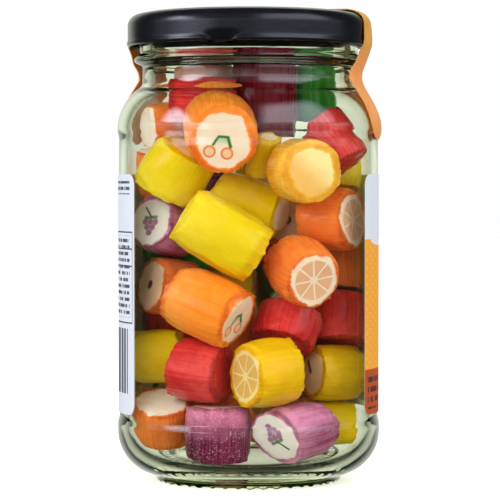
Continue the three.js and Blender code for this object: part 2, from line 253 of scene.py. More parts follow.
class Wiring:
    """Short hands for adding nodes to a shader tree and joining them."""

    def __init__(self, tree):
        self.tree = tree

    def add(self, kind, inputs=(), **settings):
        node = self.tree.nodes.new(kind)
        for name, value in settings.items():
            setattr(node, name, value)
        for name, value in dict(inputs).items():
            self.feed(node.inputs[name], value)
        return node

    def feed(self, socket, value):
        if isinstance(value, bpy.types.NodeSocket):
            self.tree.links.new(value, socket)
        elif value is not None:
            socket.default_value = value

    def math(self, operation, *values, clamp=False):
        node = self.add("ShaderNodeMath", operation=operation, use_clamp=clamp)
        for socket, value in zip(node.inputs, values):
            self.feed(socket, value)
        return node.outputs[0]

    def mix(self, share, first, second, blend="MIX"):
        node = self.add("ShaderNodeMix", data_type="RGBA", blend_type=blend)
        self.feed(node.inputs[0], share)
        self.feed(node.inputs[6], first)
        self.feed(node.inputs[7], second)
        return node.outputs[2]

    def step(self, value, start, end):
        """0 where a value is under start, 1 over end, and smooth between. Start may be the higher one."""
        node = self.add("ShaderNodeMapRange", interpolation_type="SMOOTHSTEP")
        low, high = (start, end) if start <= end else (end, start)
        self.feed(node.inputs[0], value)
        node.inputs[1].default_value = low
        node.inputs[2].default_value = high
        node.inputs[3].default_value = 0 if start <= end else 1
        node.inputs[4].default_value = 1 if start <= end else 0
        return node.outputs[0]

    def split(self, vector):
        node = self.add("ShaderNodeSeparateXYZ", {0: vector})
        return node.outputs[0], node.outputs[1], node.outputs[2]

    def join(self, x=0.0, y=0.0, z=0.0):
        return self.add("ShaderNodeCombineXYZ", {0: x, 1: y, 2: z}).outputs[0]

    def scaled(self, vector, by):
        node = self.add("ShaderNodeVectorMath", operation="MULTIPLY")
        self.feed(node.inputs[0], vector)
        self.feed(node.inputs[1], by)
        return node.outputs[0]

    def noise(self, vector, scale, detail=2.0, roughness=0.5, distortion=0.0):
        node = self.add("ShaderNodeTexNoise")
        for name, value in {
            "Vector": vector, "Scale": scale, "Detail": detail, "Roughness": roughness, "Distortion": distortion,
        }.items():
            self.feed(node.inputs[name], value)
        return node.outputs["Fac"]

    def group(self, tree, **inputs):
        node = self.add("ShaderNodeGroup", node_tree=tree)
        for name, value in inputs.items():
            self.feed(node.inputs[name.replace("_", " ")], value)
        return node.outputs

    def chain(self, operation, values):
        total = values[0]
        for value in values[1:]:
            total = self.math(operation, total, value)
        return total

    def plus(self, *values):
        return self.chain("ADD", values)

    def times(self, *values):
        return self.chain("MULTIPLY", values)

    def most(self, *values):
        return self.chain("MAXIMUM", values)

    def minus(self, value, less):
        return self.math("SUBTRACT", value, less)

    def over(self, value, level, soft):
        """1 where a value is over a level and 0 under it, with a soft edge."""
        return self.step(value, level - soft, level + soft)

    def under(self, value, level, soft):
        return self.step(value, level + soft, level - soft)

    def between(self, value, low, high):
        return self.times(self.math("GREATER_THAN", value, low), self.math("LESS_THAN", value, high))

    def within(self, value, start, full, fade, end):
        """1 where a value is between full and fade, and 0 where it is under start or over end."""
        return self.times(self.step(value, start, full), self.step(value, end, fade))

    def gap(self, value, level):
        """How far a value is from a level."""
        return self.math("ABSOLUTE", self.minus(value, level))

    def reach(self, x, y):
        """How far a place is from the middle."""
        return self.math("SQRT", self.plus(self.math("POWER", x, 2.0), self.math("POWER", y, 2.0)))

    def disc(self, x, y, centre, radius, soft):
        """1 inside a round spot and 0 outside, and how far a place is from its centre."""
        away = self.reach(self.minus(x, centre[0]), self.minus(y, centre[1]))
        return self.under(away, radius, soft), away

    def stroke(self, x, y, start, end, width, soft):
        """1 along a straight stroke and 0 away from it."""
        run = (end[0] - start[0], end[1] - start[1])
        length = run[0] ** 2 + run[1] ** 2
        across, up = self.minus(x, start[0]), self.minus(y, start[1])
        shares = self.times(across, run[0] / length), self.times(up, run[1] / length)
        along = self.math("ADD", *shares, clamp=True)
        dx = self.minus(across, self.times(along, run[0]))
        dy = self.minus(up, self.times(along, run[1]))
        return self.under(self.reach(dx, dy), width, soft)


def new_group(name, inputs, outputs):
    """An empty node group with named sockets, and the wiring, inputs and outputs to fill it with."""
    tree = bpy.data.node_groups.new(name, "ShaderNodeTree")
    for socket, (kind, value) in inputs.items():
        made = tree.interface.new_socket(socket, in_out="INPUT", socket_type=kind)
        if value is not None:
            made.default_value = value
    for socket, kind in outputs.items():
        tree.interface.new_socket(socket, in_out="OUTPUT", socket_type=kind)
    wires = Wiring(tree)
    return tree, wires, wires.add("NodeGroupInput").outputs, wires.add("NodeGroupOutput").inputs


def new_material(name):
    material = bpy.data.materials.new(name)
    material.use_nodes = True
    wires = Wiring(material.node_tree)
    shader = material.node_tree.nodes["Principled BSDF"]
    return material, wires, shader


def object_place(wires):
    return wires.add("ShaderNodeTexCoord").outputs["Object"]


def emboss(wires, shader, height, strength, distance):
    """Gives a shader a fine relief, by a height that changes over the surface."""
    relief = wires.add("ShaderNodeBump", {"Height": height, "Strength": strength, "Distance": distance})
    wires.feed(shader.inputs["Normal"], relief.outputs[0])


def give(obj, material):
    obj.data.materials.clear()
    obj.data.materials.append(material)


FLOAT = "NodeSocketFloat"
VECTOR = "NodeSocketVector"


def pulled_sugar_group():
    """Fine streaks and a few broad bands that run the length of a pulled rod."""
    tree, w, given, out = new_group(
        "pulled_sugar",
        {"Vector": (VECTOR, None), "Fineness": (FLOAT, 9.0), "Seed": (FLOAT, 0.0)},
        {"Streak": FLOAT, "Band": FLOAT, "Height": FLOAT},
    )
    x, y, z = w.split(given["Vector"])
    away = w.most(w.reach(x, y), 0.2)
    twist = w.plus(w.times(z, 0.02), w.times(given["Seed"], 9.0))
    around = w.join(w.math("DIVIDE", x, away), w.math("DIVIDE", y, away), twist)
    coarse = w.noise(around, given["Fineness"], detail=3.0, roughness=0.65)
    fine = w.noise(around, w.times(given["Fineness"], 3.1), detail=2.0)
    both = w.plus(w.times(coarse, 0.6), w.times(fine, 0.4))
    w.feed(out["Streak"], w.step(both, 0.36, 0.66))
    w.feed(out["Band"], w.step(w.noise(around, 0.9, detail=2.0), 0.40, 0.60))
    w.feed(out["Height"], both)
    return tree


def sugar_dust_group():
    """Loose grains of sugar that cling to a sweet in patches."""
    tree, w, given, out = new_group(
        "sugar_dust", {"Vector": (VECTOR, None), "Amount": (FLOAT, 0.5)}, {"Grains": FLOAT}
    )
    dots = []
    for scale, reach in ((13.0, 0.34), (23.0, 0.40)):
        cells = w.add("ShaderNodeTexVoronoi", {"Vector": given["Vector"], "Scale": scale, "Randomness": 1.0})
        size = w.add("ShaderNodeSeparateColor", {0: cells.outputs["Color"]}).outputs[0]
        limit = w.times(size, reach, w.plus(given["Amount"], 0.4))
        dots.append(w.step(w.minus(limit, cells.outputs["Distance"]), 0.0, 0.05))
    patch = w.noise(given["Vector"], 1.5, detail=3.0, roughness=0.6)
    over = w.minus(0.72, w.times(given["Amount"], 0.6))
    there = w.step(w.minus(patch, over), -0.05, 0.08)
    w.feed(out["Grains"], w.times(w.most(*dots), there))
    return tree


def cut_end_group():
    """Where a sweet's pale core and the dark line round its cut ends show, from a place in the rod."""
    tree, w, given, out = new_group(
        "cut_end",
        {"Vector": (VECTOR, None), "Core": (FLOAT, 0.8), "Wobble": (FLOAT, 0.06)},
        {"Core": FLOAT, "Rim": FLOAT, "Milk": FLOAT},
    )
    x, y, z = w.split(given["Vector"])
    swell = w.minus(w.noise(given["Vector"], 2.6, detail=3.0, roughness=0.6), 0.5)
    edge = w.plus(w.reach(x, y), w.times(swell, given["Wobble"], 5.0))
    from_core = w.minus(edge, given["Core"])
    w.feed(out["Core"], w.step(from_core, 0.03, -0.03))
    near_end = w.step(w.plus(w.math("ABSOLUTE", z), w.times(swell, 0.15)), 0.80, 0.93)
    w.feed(out["Rim"], w.times(near_end, w.step(from_core, 0.0, 0.12)))
    w.feed(out["Milk"], w.noise(given["Vector"], 3.1, detail=3.0))
    return tree


PULLED_SUGAR = pulled_sugar_group()
SUGAR_DUST = sugar_dust_group()
CUT_END = cut_end_group()


# ---- Glass --------------------------------------------------------------------------------------


def glass_profile():
    outside = [
        (0, 2.2), (20.0, 1.6), (20.8, 1.35), (22.3, 0.5), (22.7, FOOT_LIFT),
        (23.4, FOOT_LIFT), (24.2, FOOT_LIFT), (FOOT_R - 0.3, FOOT_LIFT), (FOOT_R, 0.65), (FOOT_R + 0.1, 1.3),
        *arc(BULGE_R - HEEL_ROUND, HEEL_TOP_Z, HEEL_ROUND, -78, 0, 22),
        (BULGE_R, 15.6), (BULGE_R - 0.07, 16.3), (PANEL_R + 0.07, 17.2), (PANEL_R, PANEL_LOW_Z),
        *[(PANEL_R, PANEL_LOW_Z + (PANEL_HIGH_Z - PANEL_LOW_Z) * i / 12) for i in range(1, 13)],
        (PANEL_R + 0.07, 93.4), (BULGE_R - 0.07, 94.8),
        *arc(BULGE_R - SHOULDER_ROUND, SHOULDER_Z, SHOULDER_ROUND, 0, 53, 14),
        (NECK_R + 0.35, 107.5), (NECK_R + 0.08, 108.2), (NECK_R, 109.0), (NECK_R, 112.0), (NECK_R + 0.15, 112.7),
        *arc(BEAD_R - BEAD_HALF_HEIGHT, BEAD_Z, BEAD_HALF_HEIGHT, -62, 72, 8),
        (FINISH_R + 0.1, BEAD_Z + BEAD_HALF_HEIGHT + 0.4),
        *[(FINISH_R, FINISH_LOW_Z + (RIM_Z - RIM_ROUND - FINISH_LOW_Z) * i / 20) for i in range(21)],
        *arc(FINISH_R - RIM_ROUND, RIM_Z - RIM_ROUND, RIM_ROUND, 20, 90, 4),
    ]
    inside = [
        (MOUTH_R + RIM_ROUND, RIM_Z), *arc(MOUTH_R + RIM_ROUND, RIM_Z - RIM_ROUND, RIM_ROUND, 110, 180, 4),
        (MOUTH_R, 116.0), (MOUTH_R, 110.0), (MOUTH_R + 0.1, 108.2),
        *arc(BORE_R - INNER_SHOULDER_ROUND, SHOULDER_Z, INNER_SHOULDER_ROUND, 60, 0, 12),
        *[(BORE_R, SHOULDER_Z + (FLOOR_Z + FLOOR_ROUND - SHOULDER_Z) * i / 10) for i in range(1, 10)],
        *arc(BORE_R - FLOOR_ROUND, FLOOR_Z + FLOOR_ROUND, FLOOR_ROUND, 0, -90, 12),
        (12, FLOOR_Z + 0.45), (0, FLOOR_Z + 0.7),
    ]
    return outside + inside


def thread_at(place):
    """How far a raised thread stands out of the neck at a place."""
    if math.hypot(place.x, place.y) < (FINISH_R - 0.1) * MM:
        return 0
    lead = (azimuth_of(place) - LUG_FIRST_AZIMUTH - THREAD_LAG_DEG) % (360 / LUG_COUNT)
    share = lead / THREAD_DEG
    if share > 1:
        return 0
    middle = THREAD_LOW_Z + THREAD_CLIMB * share
    fade = min(1, 6 * share, 6 * (1 - share))
    return fade * bump(place.z / MM - middle, THREAD_HALF_WIDTH)


def tooth_at(place):
    """How far one of the foot ring's small teeth reaches down at a place."""
    if place.z > (FOOT_LIFT + 0.01) * MM or math.hypot(place.x, place.y) < TOOTH_INNER_R * MM:
        return 0
    turn = (azimuth_of(place) * FOOT_TEETH / 360) % 1
    return 1 if turn < TOOTH_SHARE else 0


RIPPLE = 0.09
DEPTH_COLOUR = (0.57, 0.72, 0.16, 1)
DEPTH_DENSITY = 46.0


def make_glass():
    glass = turned("jar_glass_clear", glass_profile(), FOOT_TEETH * 4)
    press(glass, thread_at, THREAD_HEIGHT)
    press(glass, tooth_at, -FOOT_LIFT, direction="Z")
    smooth(glass, 50)
    material, w, shader = new_material("clear_green_glass")
    shader.inputs["Base Color"].default_value = (1, 1, 1, 1)
    shader.inputs["Roughness"].default_value = 0.0
    shader.inputs["IOR"].default_value = 1.5
    shader.inputs["Transmission Weight"].default_value = 1
    place = object_place(w)
    ripple = w.noise(w.scaled(place, (1, 1, 0.4)), 60.0, detail=1.0)
    emboss(w, shader, ripple, strength=RIPPLE, distance=0.0006)
    # Soft light and shadows pass straight through, so that the sweets are lit inside the jar.
    see_through = w.add("ShaderNodeBsdfTransparent", {"Color": (0.99, 1, 0.985, 1)})
    path = w.add("ShaderNodeLightPath").outputs
    plainly = w.add("ShaderNodeMixShader")
    w.feed(plainly.inputs[0], w.most(path["Is Shadow Ray"], path["Is Diffuse Ray"]))
    w.feed(plainly.inputs[1], shader.outputs[0])
    w.feed(plainly.inputs[2], see_through.outputs[0])
    depth = w.add("ShaderNodeVolumeAbsorption", {"Color": DEPTH_COLOUR, "Density": DEPTH_DENSITY})
    output = material.node_tree.nodes["Material Output"]
    w.feed(output.inputs["Surface"], plainly.outputs[0])
    w.feed(output.inputs["Volume"], depth.outputs[0])
    give(glass, material)
    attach(glass, "root")
    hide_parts("jar_glass")
    return glass


# ---- Lid ----------------------------------------------------------------------------------------


def lid_profile():
    """The outside of the lid's sheet, from the middle of the panel to the end of the curl."""
    round_z = LID_TOP_Z - 0.4 - LID_ROUND
    curl_r = LID_SKIRT_R + 0.25 - LID_CURL_R
    curl_z = LID_BOTTOM_Z + LID_CURL_R
    skirt = [(LID_SKIRT_R, round_z - (round_z - curl_z - 1.3) * i / 8) for i in range(1, 9)]
    return [
        (0, LID_TOP_Z - 0.45), (12, LID_TOP_Z - 0.48), (24.2, LID_TOP_Z - 0.7), (25.2, LID_TOP_Z - 0.62),
        (26.1, LID_TOP_Z - 0.32), (27.0, LID_TOP_Z - 0.07), (27.8, LID_TOP_Z), (28.5, LID_TOP_Z - 0.08),
        (29.2, LID_TOP_Z - 0.32),
        *arc(LID_SKIRT_R - LID_ROUND, round_z, LID_ROUND, 84, 0, 10),
        *skirt,
        (LID_SKIRT_R + 0.02, curl_z + 0.75),
        *arc(curl_r, curl_z, LID_CURL_R, 28, -190, 12),
    ]


def lug_at(place):
    """How strongly a lug is pressed into the lid's skirt at a place."""
    pitch = 360 / LUG_COUNT
    away = (azimuth_of(place) - LUG_FIRST_AZIMUTH + pitch / 2) % pitch - pitch / 2
    if abs(away) >= LUG_HALF_WIDTH_DEG or place.z > LUG_TOP_Z * MM:
        return 0
    low = min(1, (LUG_TOP_Z - place.z / MM) / 2.2)
    return low * low * bump(away, LUG_HALF_WIDTH_DEG)


LACQUER = colour(12, 13, 19)
LACQUER_HAZE = colour(18, 20, 27)


def make_lid():
    lid = turned("lid_gloss", lid_profile(), 180)
    press(lid, lug_at, -LUG_DROP, direction="Z")
    press(lid, lambda place: lug_at(place + Vector((0, 0, LUG_DROP * MM * lug_at(place)))), -LUG_PRESS)
    modify(lid, "SOLIDIFY", thickness=LID_SHEET * MM, offset=-1)
    smooth(lid, 50)
    material, w, shader = new_material("black_lacquer")
    place = object_place(w)
    peel = w.noise(place, 900.0, detail=1.0)
    haze = w.step(w.noise(place, 70.0, detail=3.0), 0.35, 0.7)
    w.feed(shader.inputs["Base Color"], w.mix(haze, LACQUER, LACQUER_HAZE))
    w.feed(shader.inputs["Roughness"], w.plus(0.22, w.times(haze, 0.06)))
    emboss(w, shader, peel, strength=0.08, distance=0.0002)
    give(lid, material)
    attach(lid, "root")
    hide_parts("lid")
    return lid


# ---- Label --------------------------------------------------------------------------------------

LABEL_R = PANEL_R + 0.06
LABEL_ARC = math.radians(LABEL_END_AZIMUTH - LABEL_START_AZIMUTH)
LABEL_LENGTH = LABEL_ARC * LABEL_R
LABEL_HEIGHT = (LABEL_HIGH.z - LABEL_LOW.z) / MM
LABEL_PAPER = 0.18
LABEL_COLUMNS = 120
LABEL_ROWS = 6


def make_label():
    clear_selection()
    middle_z = (LABEL_HIGH.z + LABEL_LOW.z) / 2
    bpy.ops.mesh.primitive_plane_add(size=1)
    label = named(bpy.context.object, "label_paper")
    bpy.ops.object.mode_set(mode="EDIT")
    bpy.ops.transform.resize(value=(LABEL_LENGTH * MM, LABEL_HEIGHT * MM, 1))
    bpy.ops.mesh.bevel(affect="VERTICES", offset=LABEL_CORNER * MM, segments=6, profile=0.5)
    for count, reach, way in ((LABEL_COLUMNS, LABEL_LENGTH, (1, 0, 0)), (LABEL_ROWS, LABEL_HEIGHT, (0, 1, 0))):
        for i in range(1, count):
            bpy.ops.mesh.select_all(action="SELECT")
            bpy.ops.mesh.bisect(plane_co=Vector(way) * ((i / count - 0.5) * reach * MM), plane_no=way)
    bpy.ops.mesh.select_all(action="SELECT")
    bpy.ops.transform.rotate(value=-math.pi / 2, orient_axis="X", center_override=(0, 0, 0))
    bpy.ops.object.mode_set(mode="OBJECT")
    lowest = min(v.co.z for v in label.data.vertices)
    assert lowest < -0.4 * LABEL_HEIGHT * MM, "the label has to stand up before it is bent"
    modify(label, "SIMPLE_DEFORM", deform_method="BEND", deform_axis="Z", angle=-LABEL_ARC)
    edit(label)
    bpy.ops.mesh.select_all(action="SELECT")
    bpy.ops.transform.translate(value=(0, LABEL_R * MM, middle_z))
    turn = (LABEL_START_AZIMUTH + LABEL_END_AZIMUTH) / 2 - 180
    bpy.ops.transform.rotate(value=-math.radians(turn), orient_axis="Z", center_override=(0, 0, 0))
    bpy.ops.mesh.normals_make_consistent(inside=False)
    bpy.ops.object.mode_set(mode="OBJECT")
    outward = sum(v.normal.x * v.co.x + v.normal.y * v.co.y for v in label.data.vertices)
    modify(label, "SOLIDIFY", thickness=LABEL_PAPER * MM, offset=1 if outward > 0 else -1)
    smooth(label, 30)
    give(label, label_print())
    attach(label, "root")
    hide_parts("label")
    return label


LABEL_WHITE = colour(206, 211, 223)
LABEL_ORANGE = colour(228, 156, 52)
LABEL_DOT = colour(234, 184, 112)
LABEL_DEEP = colour(172, 78, 36)
LABEL_INK = colour(38, 40, 52)
LABEL_BACK = colour(176, 172, 164)
LABEL_CREAM = colour(250, 244, 232)
EDGE = 0.1  # how soft the edges of the printed fields are, in millimetres, as all sizes of the print
DOT_PITCH = 2.2
FOOT_BAND_Z = 31.1
WAVED_TOP_Z = 66.5
CORNER_TOP_Z = 66.0
CORNER_LENGTH = 4.1
OVAL_MIDDLE = (LABEL_LENGTH / 2, 52.0)
OVAL_REACH = (27.0, 19.0)
OVAL_SWEETS = ((-14.0, colour(204, 48, 58)), (0.0, colour(238, 120, 44)), (14.0, colour(150, 58, 128)))
OVAL_SWEET_R = 5.6
PANEL_LENGTH = 45.9
RULES_Z = (67.9, 63.4, 58.8, 43.6)
STROKE_COLUMNS = (2.6, 42.0)
STROKE_ROWS = (45.0, 67.0)
TOP_STROKE_ROWS = (78.0, 81.6)
BAR_COLUMNS = (3.4, 31.0)
BAR_ROWS = (24.5, 42.0)
BLOCK_COLUMNS = (1.6, 34.0)
BLOCK_ROWS = (20.4, 30.0)


def dotted_field(w, along, height):
    """Pale dots in staggered columns on orange."""
    column = w.math("DIVIDE", along, DOT_PITCH)
    odd = w.times(w.math("MODULO", w.math("FLOOR", column), 2.0), 0.5)
    row = w.plus(w.math("DIVIDE", height, DOT_PITCH), odd)
    dot, _ = w.disc(w.math("FRACT", column), w.math("FRACT", row), (0.5, 0.5), 0.17, 0.05)
    return w.mix(w.times(dot, 0.75), LABEL_ORANGE, LABEL_DOT)


def near_end(w, along, height, field):
    """White above with a waved edge, and a darker band along the foot."""
    wave = w.times(w.math("SINE", w.math("DIVIDE", along, 7.0)), 2.2)
    field = w.mix(w.under(height, FOOT_BAND_Z, EDGE), field, LABEL_DEEP)
    waved = w.times(w.over(along, CORNER_LENGTH, EDGE), w.over(w.plus(height, wave), WAVED_TOP_Z, EDGE))
    field = w.mix(waved, field, LABEL_WHITE)
    corner = w.times(w.under(along, CORNER_LENGTH, EDGE), w.over(height, CORNER_TOP_Z, EDGE))
    return w.mix(corner, field, LABEL_WHITE)


def oval_of_sweets(w, along, height, field):
    """An oval in the middle of the hidden side, with three plain rounds like cut sweets in it."""
    across = w.minus(along, OVAL_MIDDLE[0])
    up = w.minus(height, OVAL_MIDDLE[1])
    inside, ring = w.disc(
        w.math("DIVIDE", across, OVAL_REACH[0]), w.math("DIVIDE", up, OVAL_REACH[1]), (0.0, 0.0), 1.0, 0.012
    )
    field = w.mix(inside, field, LABEL_CREAM)
    field = w.mix(w.within(ring, 0.90, 0.91, 0.93, 0.94), field, LABEL_DEEP)
    for aside, jacket in OVAL_SWEETS:
        cut, away = w.disc(across, up, (aside, 0.0), OVAL_SWEET_R, 0.08)
        field = w.mix(cut, field, jacket)
        field = w.mix(w.step(away, 4.35, 4.2), field, colour(252, 240, 226))
        turn = w.math("ARCTAN2", up, w.minus(across, aside))
        rays = w.step(w.math("ABSOLUTE", w.math("SINE", w.times(turn, 3.0))), 0.25, 0.4)
        field = w.mix(w.times(rays, w.within(away, 0.7, 0.9, 3.55, 3.7)), field, jacket)
    return field


def short_strokes(w, run, height, pitch, fineness, least, half):
    """Rows of plain strokes of uneven length. Fewer show where least is higher."""
    rows = w.math("DIVIDE", height, pitch)
    broken = w.math("GREATER_THAN", w.noise(w.join(run, w.math("FLOOR", rows)), fineness, detail=1.0), least)
    return w.times(broken, w.math("LESS_THAN", w.gap(w.math("FRACT", rows), 0.5), half))


def far_end(w, from_end, height, field):
    """A white panel with rows of grey strokes, a ruled table and a block of upright bars."""
    panel = w.under(from_end, PANEL_LENGTH, EDGE)
    field = w.mix(panel, field, LABEL_WHITE)
    strokes = short_strokes(w, from_end, height, pitch=1.75, fineness=0.8, least=0.44, half=0.26)
    there = w.most(w.between(height, *STROKE_ROWS), w.between(height, *TOP_STROKE_ROWS))
    strokes = w.times(strokes, w.between(from_end, *STROKE_COLUMNS), there)
    rules = w.most(*[w.under(w.gap(height, level), 0.20, 0.04) for level in RULES_Z])
    border = w.times(w.under(w.gap(from_end, 1.0), 0.13, 0.03), w.between(height, RULES_Z[-1], RULES_Z[0]))
    ruled = w.most(w.times(rules, w.math("GREATER_THAN", from_end, 1.0)), border)
    bars = w.math("GREATER_THAN", w.noise(w.join(from_end, 7.7), 0.9, detail=0.0), 0.46)
    bars = w.times(bars, w.between(from_end, *BAR_COLUMNS), w.between(height, *BAR_ROWS))
    black = w.times(panel, w.most(w.times(strokes, 0.9), w.times(ruled, 0.9), bars))
    return w.mix(black, field, LABEL_INK)


def foot_blocks(w, along, height, field):
    """A few rows of plain blocks in the near end's foot band."""
    blocks = short_strokes(w, along, height, pitch=2.7, fineness=1.1, least=0.47, half=0.27)
    blocks = w.times(blocks, w.between(along, *BLOCK_COLUMNS), w.between(height, *BLOCK_ROWS))
    return w.mix(w.times(blocks, 0.92), field, LABEL_INK)


def label_print():
    """Plain fields of colour on the outside of the label, and bare paper on the side that faces the glass."""
    material, w, shader = new_material("label_print")
    place = object_place(w)
    x, y, z = w.split(place)
    height = w.math("DIVIDE", z, MM)
    turn = w.math("ARCTAN2", x, w.times(y, -1.0))
    around = w.math("MODULO", w.plus(turn, TAU), TAU)
    along = w.times(w.minus(around, math.radians(LABEL_START_AZIMUTH)), LABEL_R)
    field = dotted_field(w, along, height)
    field = near_end(w, along, height, field)
    field = oval_of_sweets(w, along, height, field)
    field = far_end(w, w.minus(LABEL_LENGTH, along), height, field)
    field = foot_blocks(w, along, height, field)
    outer = w.math("GREATER_THAN", w.reach(x, y), (LABEL_R + LABEL_PAPER / 2) * MM)
    w.feed(shader.inputs["Base Color"], w.mix(outer, LABEL_BACK, field))
    fibre = w.noise(place, 2600.0, detail=3.0)
    relief = w.plus(w.times(fibre, 0.3), w.noise(place, 90.0, detail=2.0))
    emboss(w, shader, relief, strength=0.12, distance=0.0002)
    w.feed(shader.inputs["Roughness"], w.plus(0.5, w.times(fibre, 0.12)))
    shader.inputs["Specular IOR Level"].default_value = 0.03
    return material


# ---- Seal ---------------------------------------------------------------------------------------

SEAL_BUCKLE = 0.10
SEAL_BUCKLE_SIZE = 9
SEAL_LOW = colour(216, 142, 82)
SEAL_HIGH = colour(198, 142, 60)
SEAL_WORN = colour(250, 214, 150)


def make_seal():
    """A smoothed copy of the seal's CAD sheet, with a faint paper buckle."""
    pick(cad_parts["seal_strip"])
    bpy.ops.object.duplicate()
    seal = named(bpy.context.object, "seal_paper")
    for key in list(seal.keys()):
        if key.startswith("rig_"):
            del seal[key]
    edit(seal)
    bpy.ops.mesh.select_all(action="SELECT")
    bpy.ops.mesh.remove_doubles(threshold=0.002 * MM)
    bpy.ops.mesh.tris_convert_to_quads(face_threshold=math.radians(60), shape_threshold=math.radians(60))
    bpy.ops.mesh.select_all(action="DESELECT")
    bpy.ops.mesh.edges_select_sharp(sharpness=math.radians(60))
    bpy.ops.transform.edge_crease(value=1)
    bpy.ops.object.mode_set(mode="OBJECT")
    modify(seal, "SUBSURF", levels=2, render_levels=2)
    rumple(seal, clouds("paper_buckle", SEAL_BUCKLE_SIZE), SEAL_BUCKLE, direction="X")
    smooth(seal, 40)
    material, w, shader = new_material("seal_print")
    place = object_place(w)
    _, _, z = w.split(place)
    height = w.math("DIVIDE", z, MM)
    fibre = w.noise(place, 2400.0, detail=3.0)
    worn = w.step(w.noise(place, 160.0, detail=3.0), 0.45, 0.75)
    field = w.mix(w.step(height, 112.0, 121.0), SEAL_LOW, SEAL_HIGH)
    w.feed(shader.inputs["Base Color"], w.mix(w.times(worn, 0.12), field, SEAL_WORN))
    emboss(w, shader, fibre, strength=0.1, distance=0.0002)
    shader.inputs["Roughness"].default_value = 0.5
    shader.inputs["Specular IOR Level"].default_value = 0.03
    give(seal, material)
    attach(seal, "root")
    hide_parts("seal_strip")
    return seal


# ---- Sweets: their shapes -----------------------------------------------------------------------

ROD_R = 9.0  # the radius and half length that every shape of cut rod is modelled at
ROD_HALF = 8.5
AROUND = 48
SURFACE_GRAIN = 0.5  # the spacing of the points on a finished sweet
RIM_START = 0.66  # the share of a rod's radius and half length from which it crumbles
RIM_WIDTH = 0.25
NIBBLE_SIZE = 3.0
NIBBLE_DEPTH = 1.7
NIBBLE_LEVEL = 0.72  # where the pattern is this strong, the rim stays as it is
LUMP_SIZE = 8
LUMP_DEPTH = 1.0
LUMP_LEVEL = 0.62

# How a rod was squeezed and chopped: the size of each end, how far each cut slants, how much the middle swells, the
# flats pressed along its length as azimuth and reach, and the chips off its rims as end, azimuth, lean and reach.
Chop = namedtuple("Chop", "top bottom slant_top slant_bottom swell flats chips")
CHOPS = {
    "square": Chop(0.97, 0.95, 4, -6, 1.0, (), ((1, 250, 40, 0.97),)),
    "pinched": Chop(0.92, 0.95, 9, 6, 1.01, ((75, 0.94),), ((1, 40, 52, 0.93),)),
    "slanted": Chop(0.96, 0.93, 15, 8, 1.0, ((300, 0.95),), ((-1, 200, 42, 0.96),)),
    "chipped": Chop(0.95, 0.95, -8, 7, 1.0, (), ((1, 110, 35, 0.90), (-1, 300, 50, 0.93), (1, 330, 60, 0.97))),
    "wedge": Chop(0.95, 0.92, -12, 0, 1.01, ((10, 0.93), (160, 0.95)), ((-1, 90, 28, 0.80),)),
    "pressed": Chop(0.86, 0.90, -10, 9, 1.02, ((20, 0.86), (140, 0.90), (250, 0.93)), ((-1, 20, 45, 0.95),)),
}


def rim_share(reach):
    """How strongly a rod crumbles at a share of its radius or half length."""
    return min(1, max(0, (reach - RIM_START) / RIM_WIDTH))


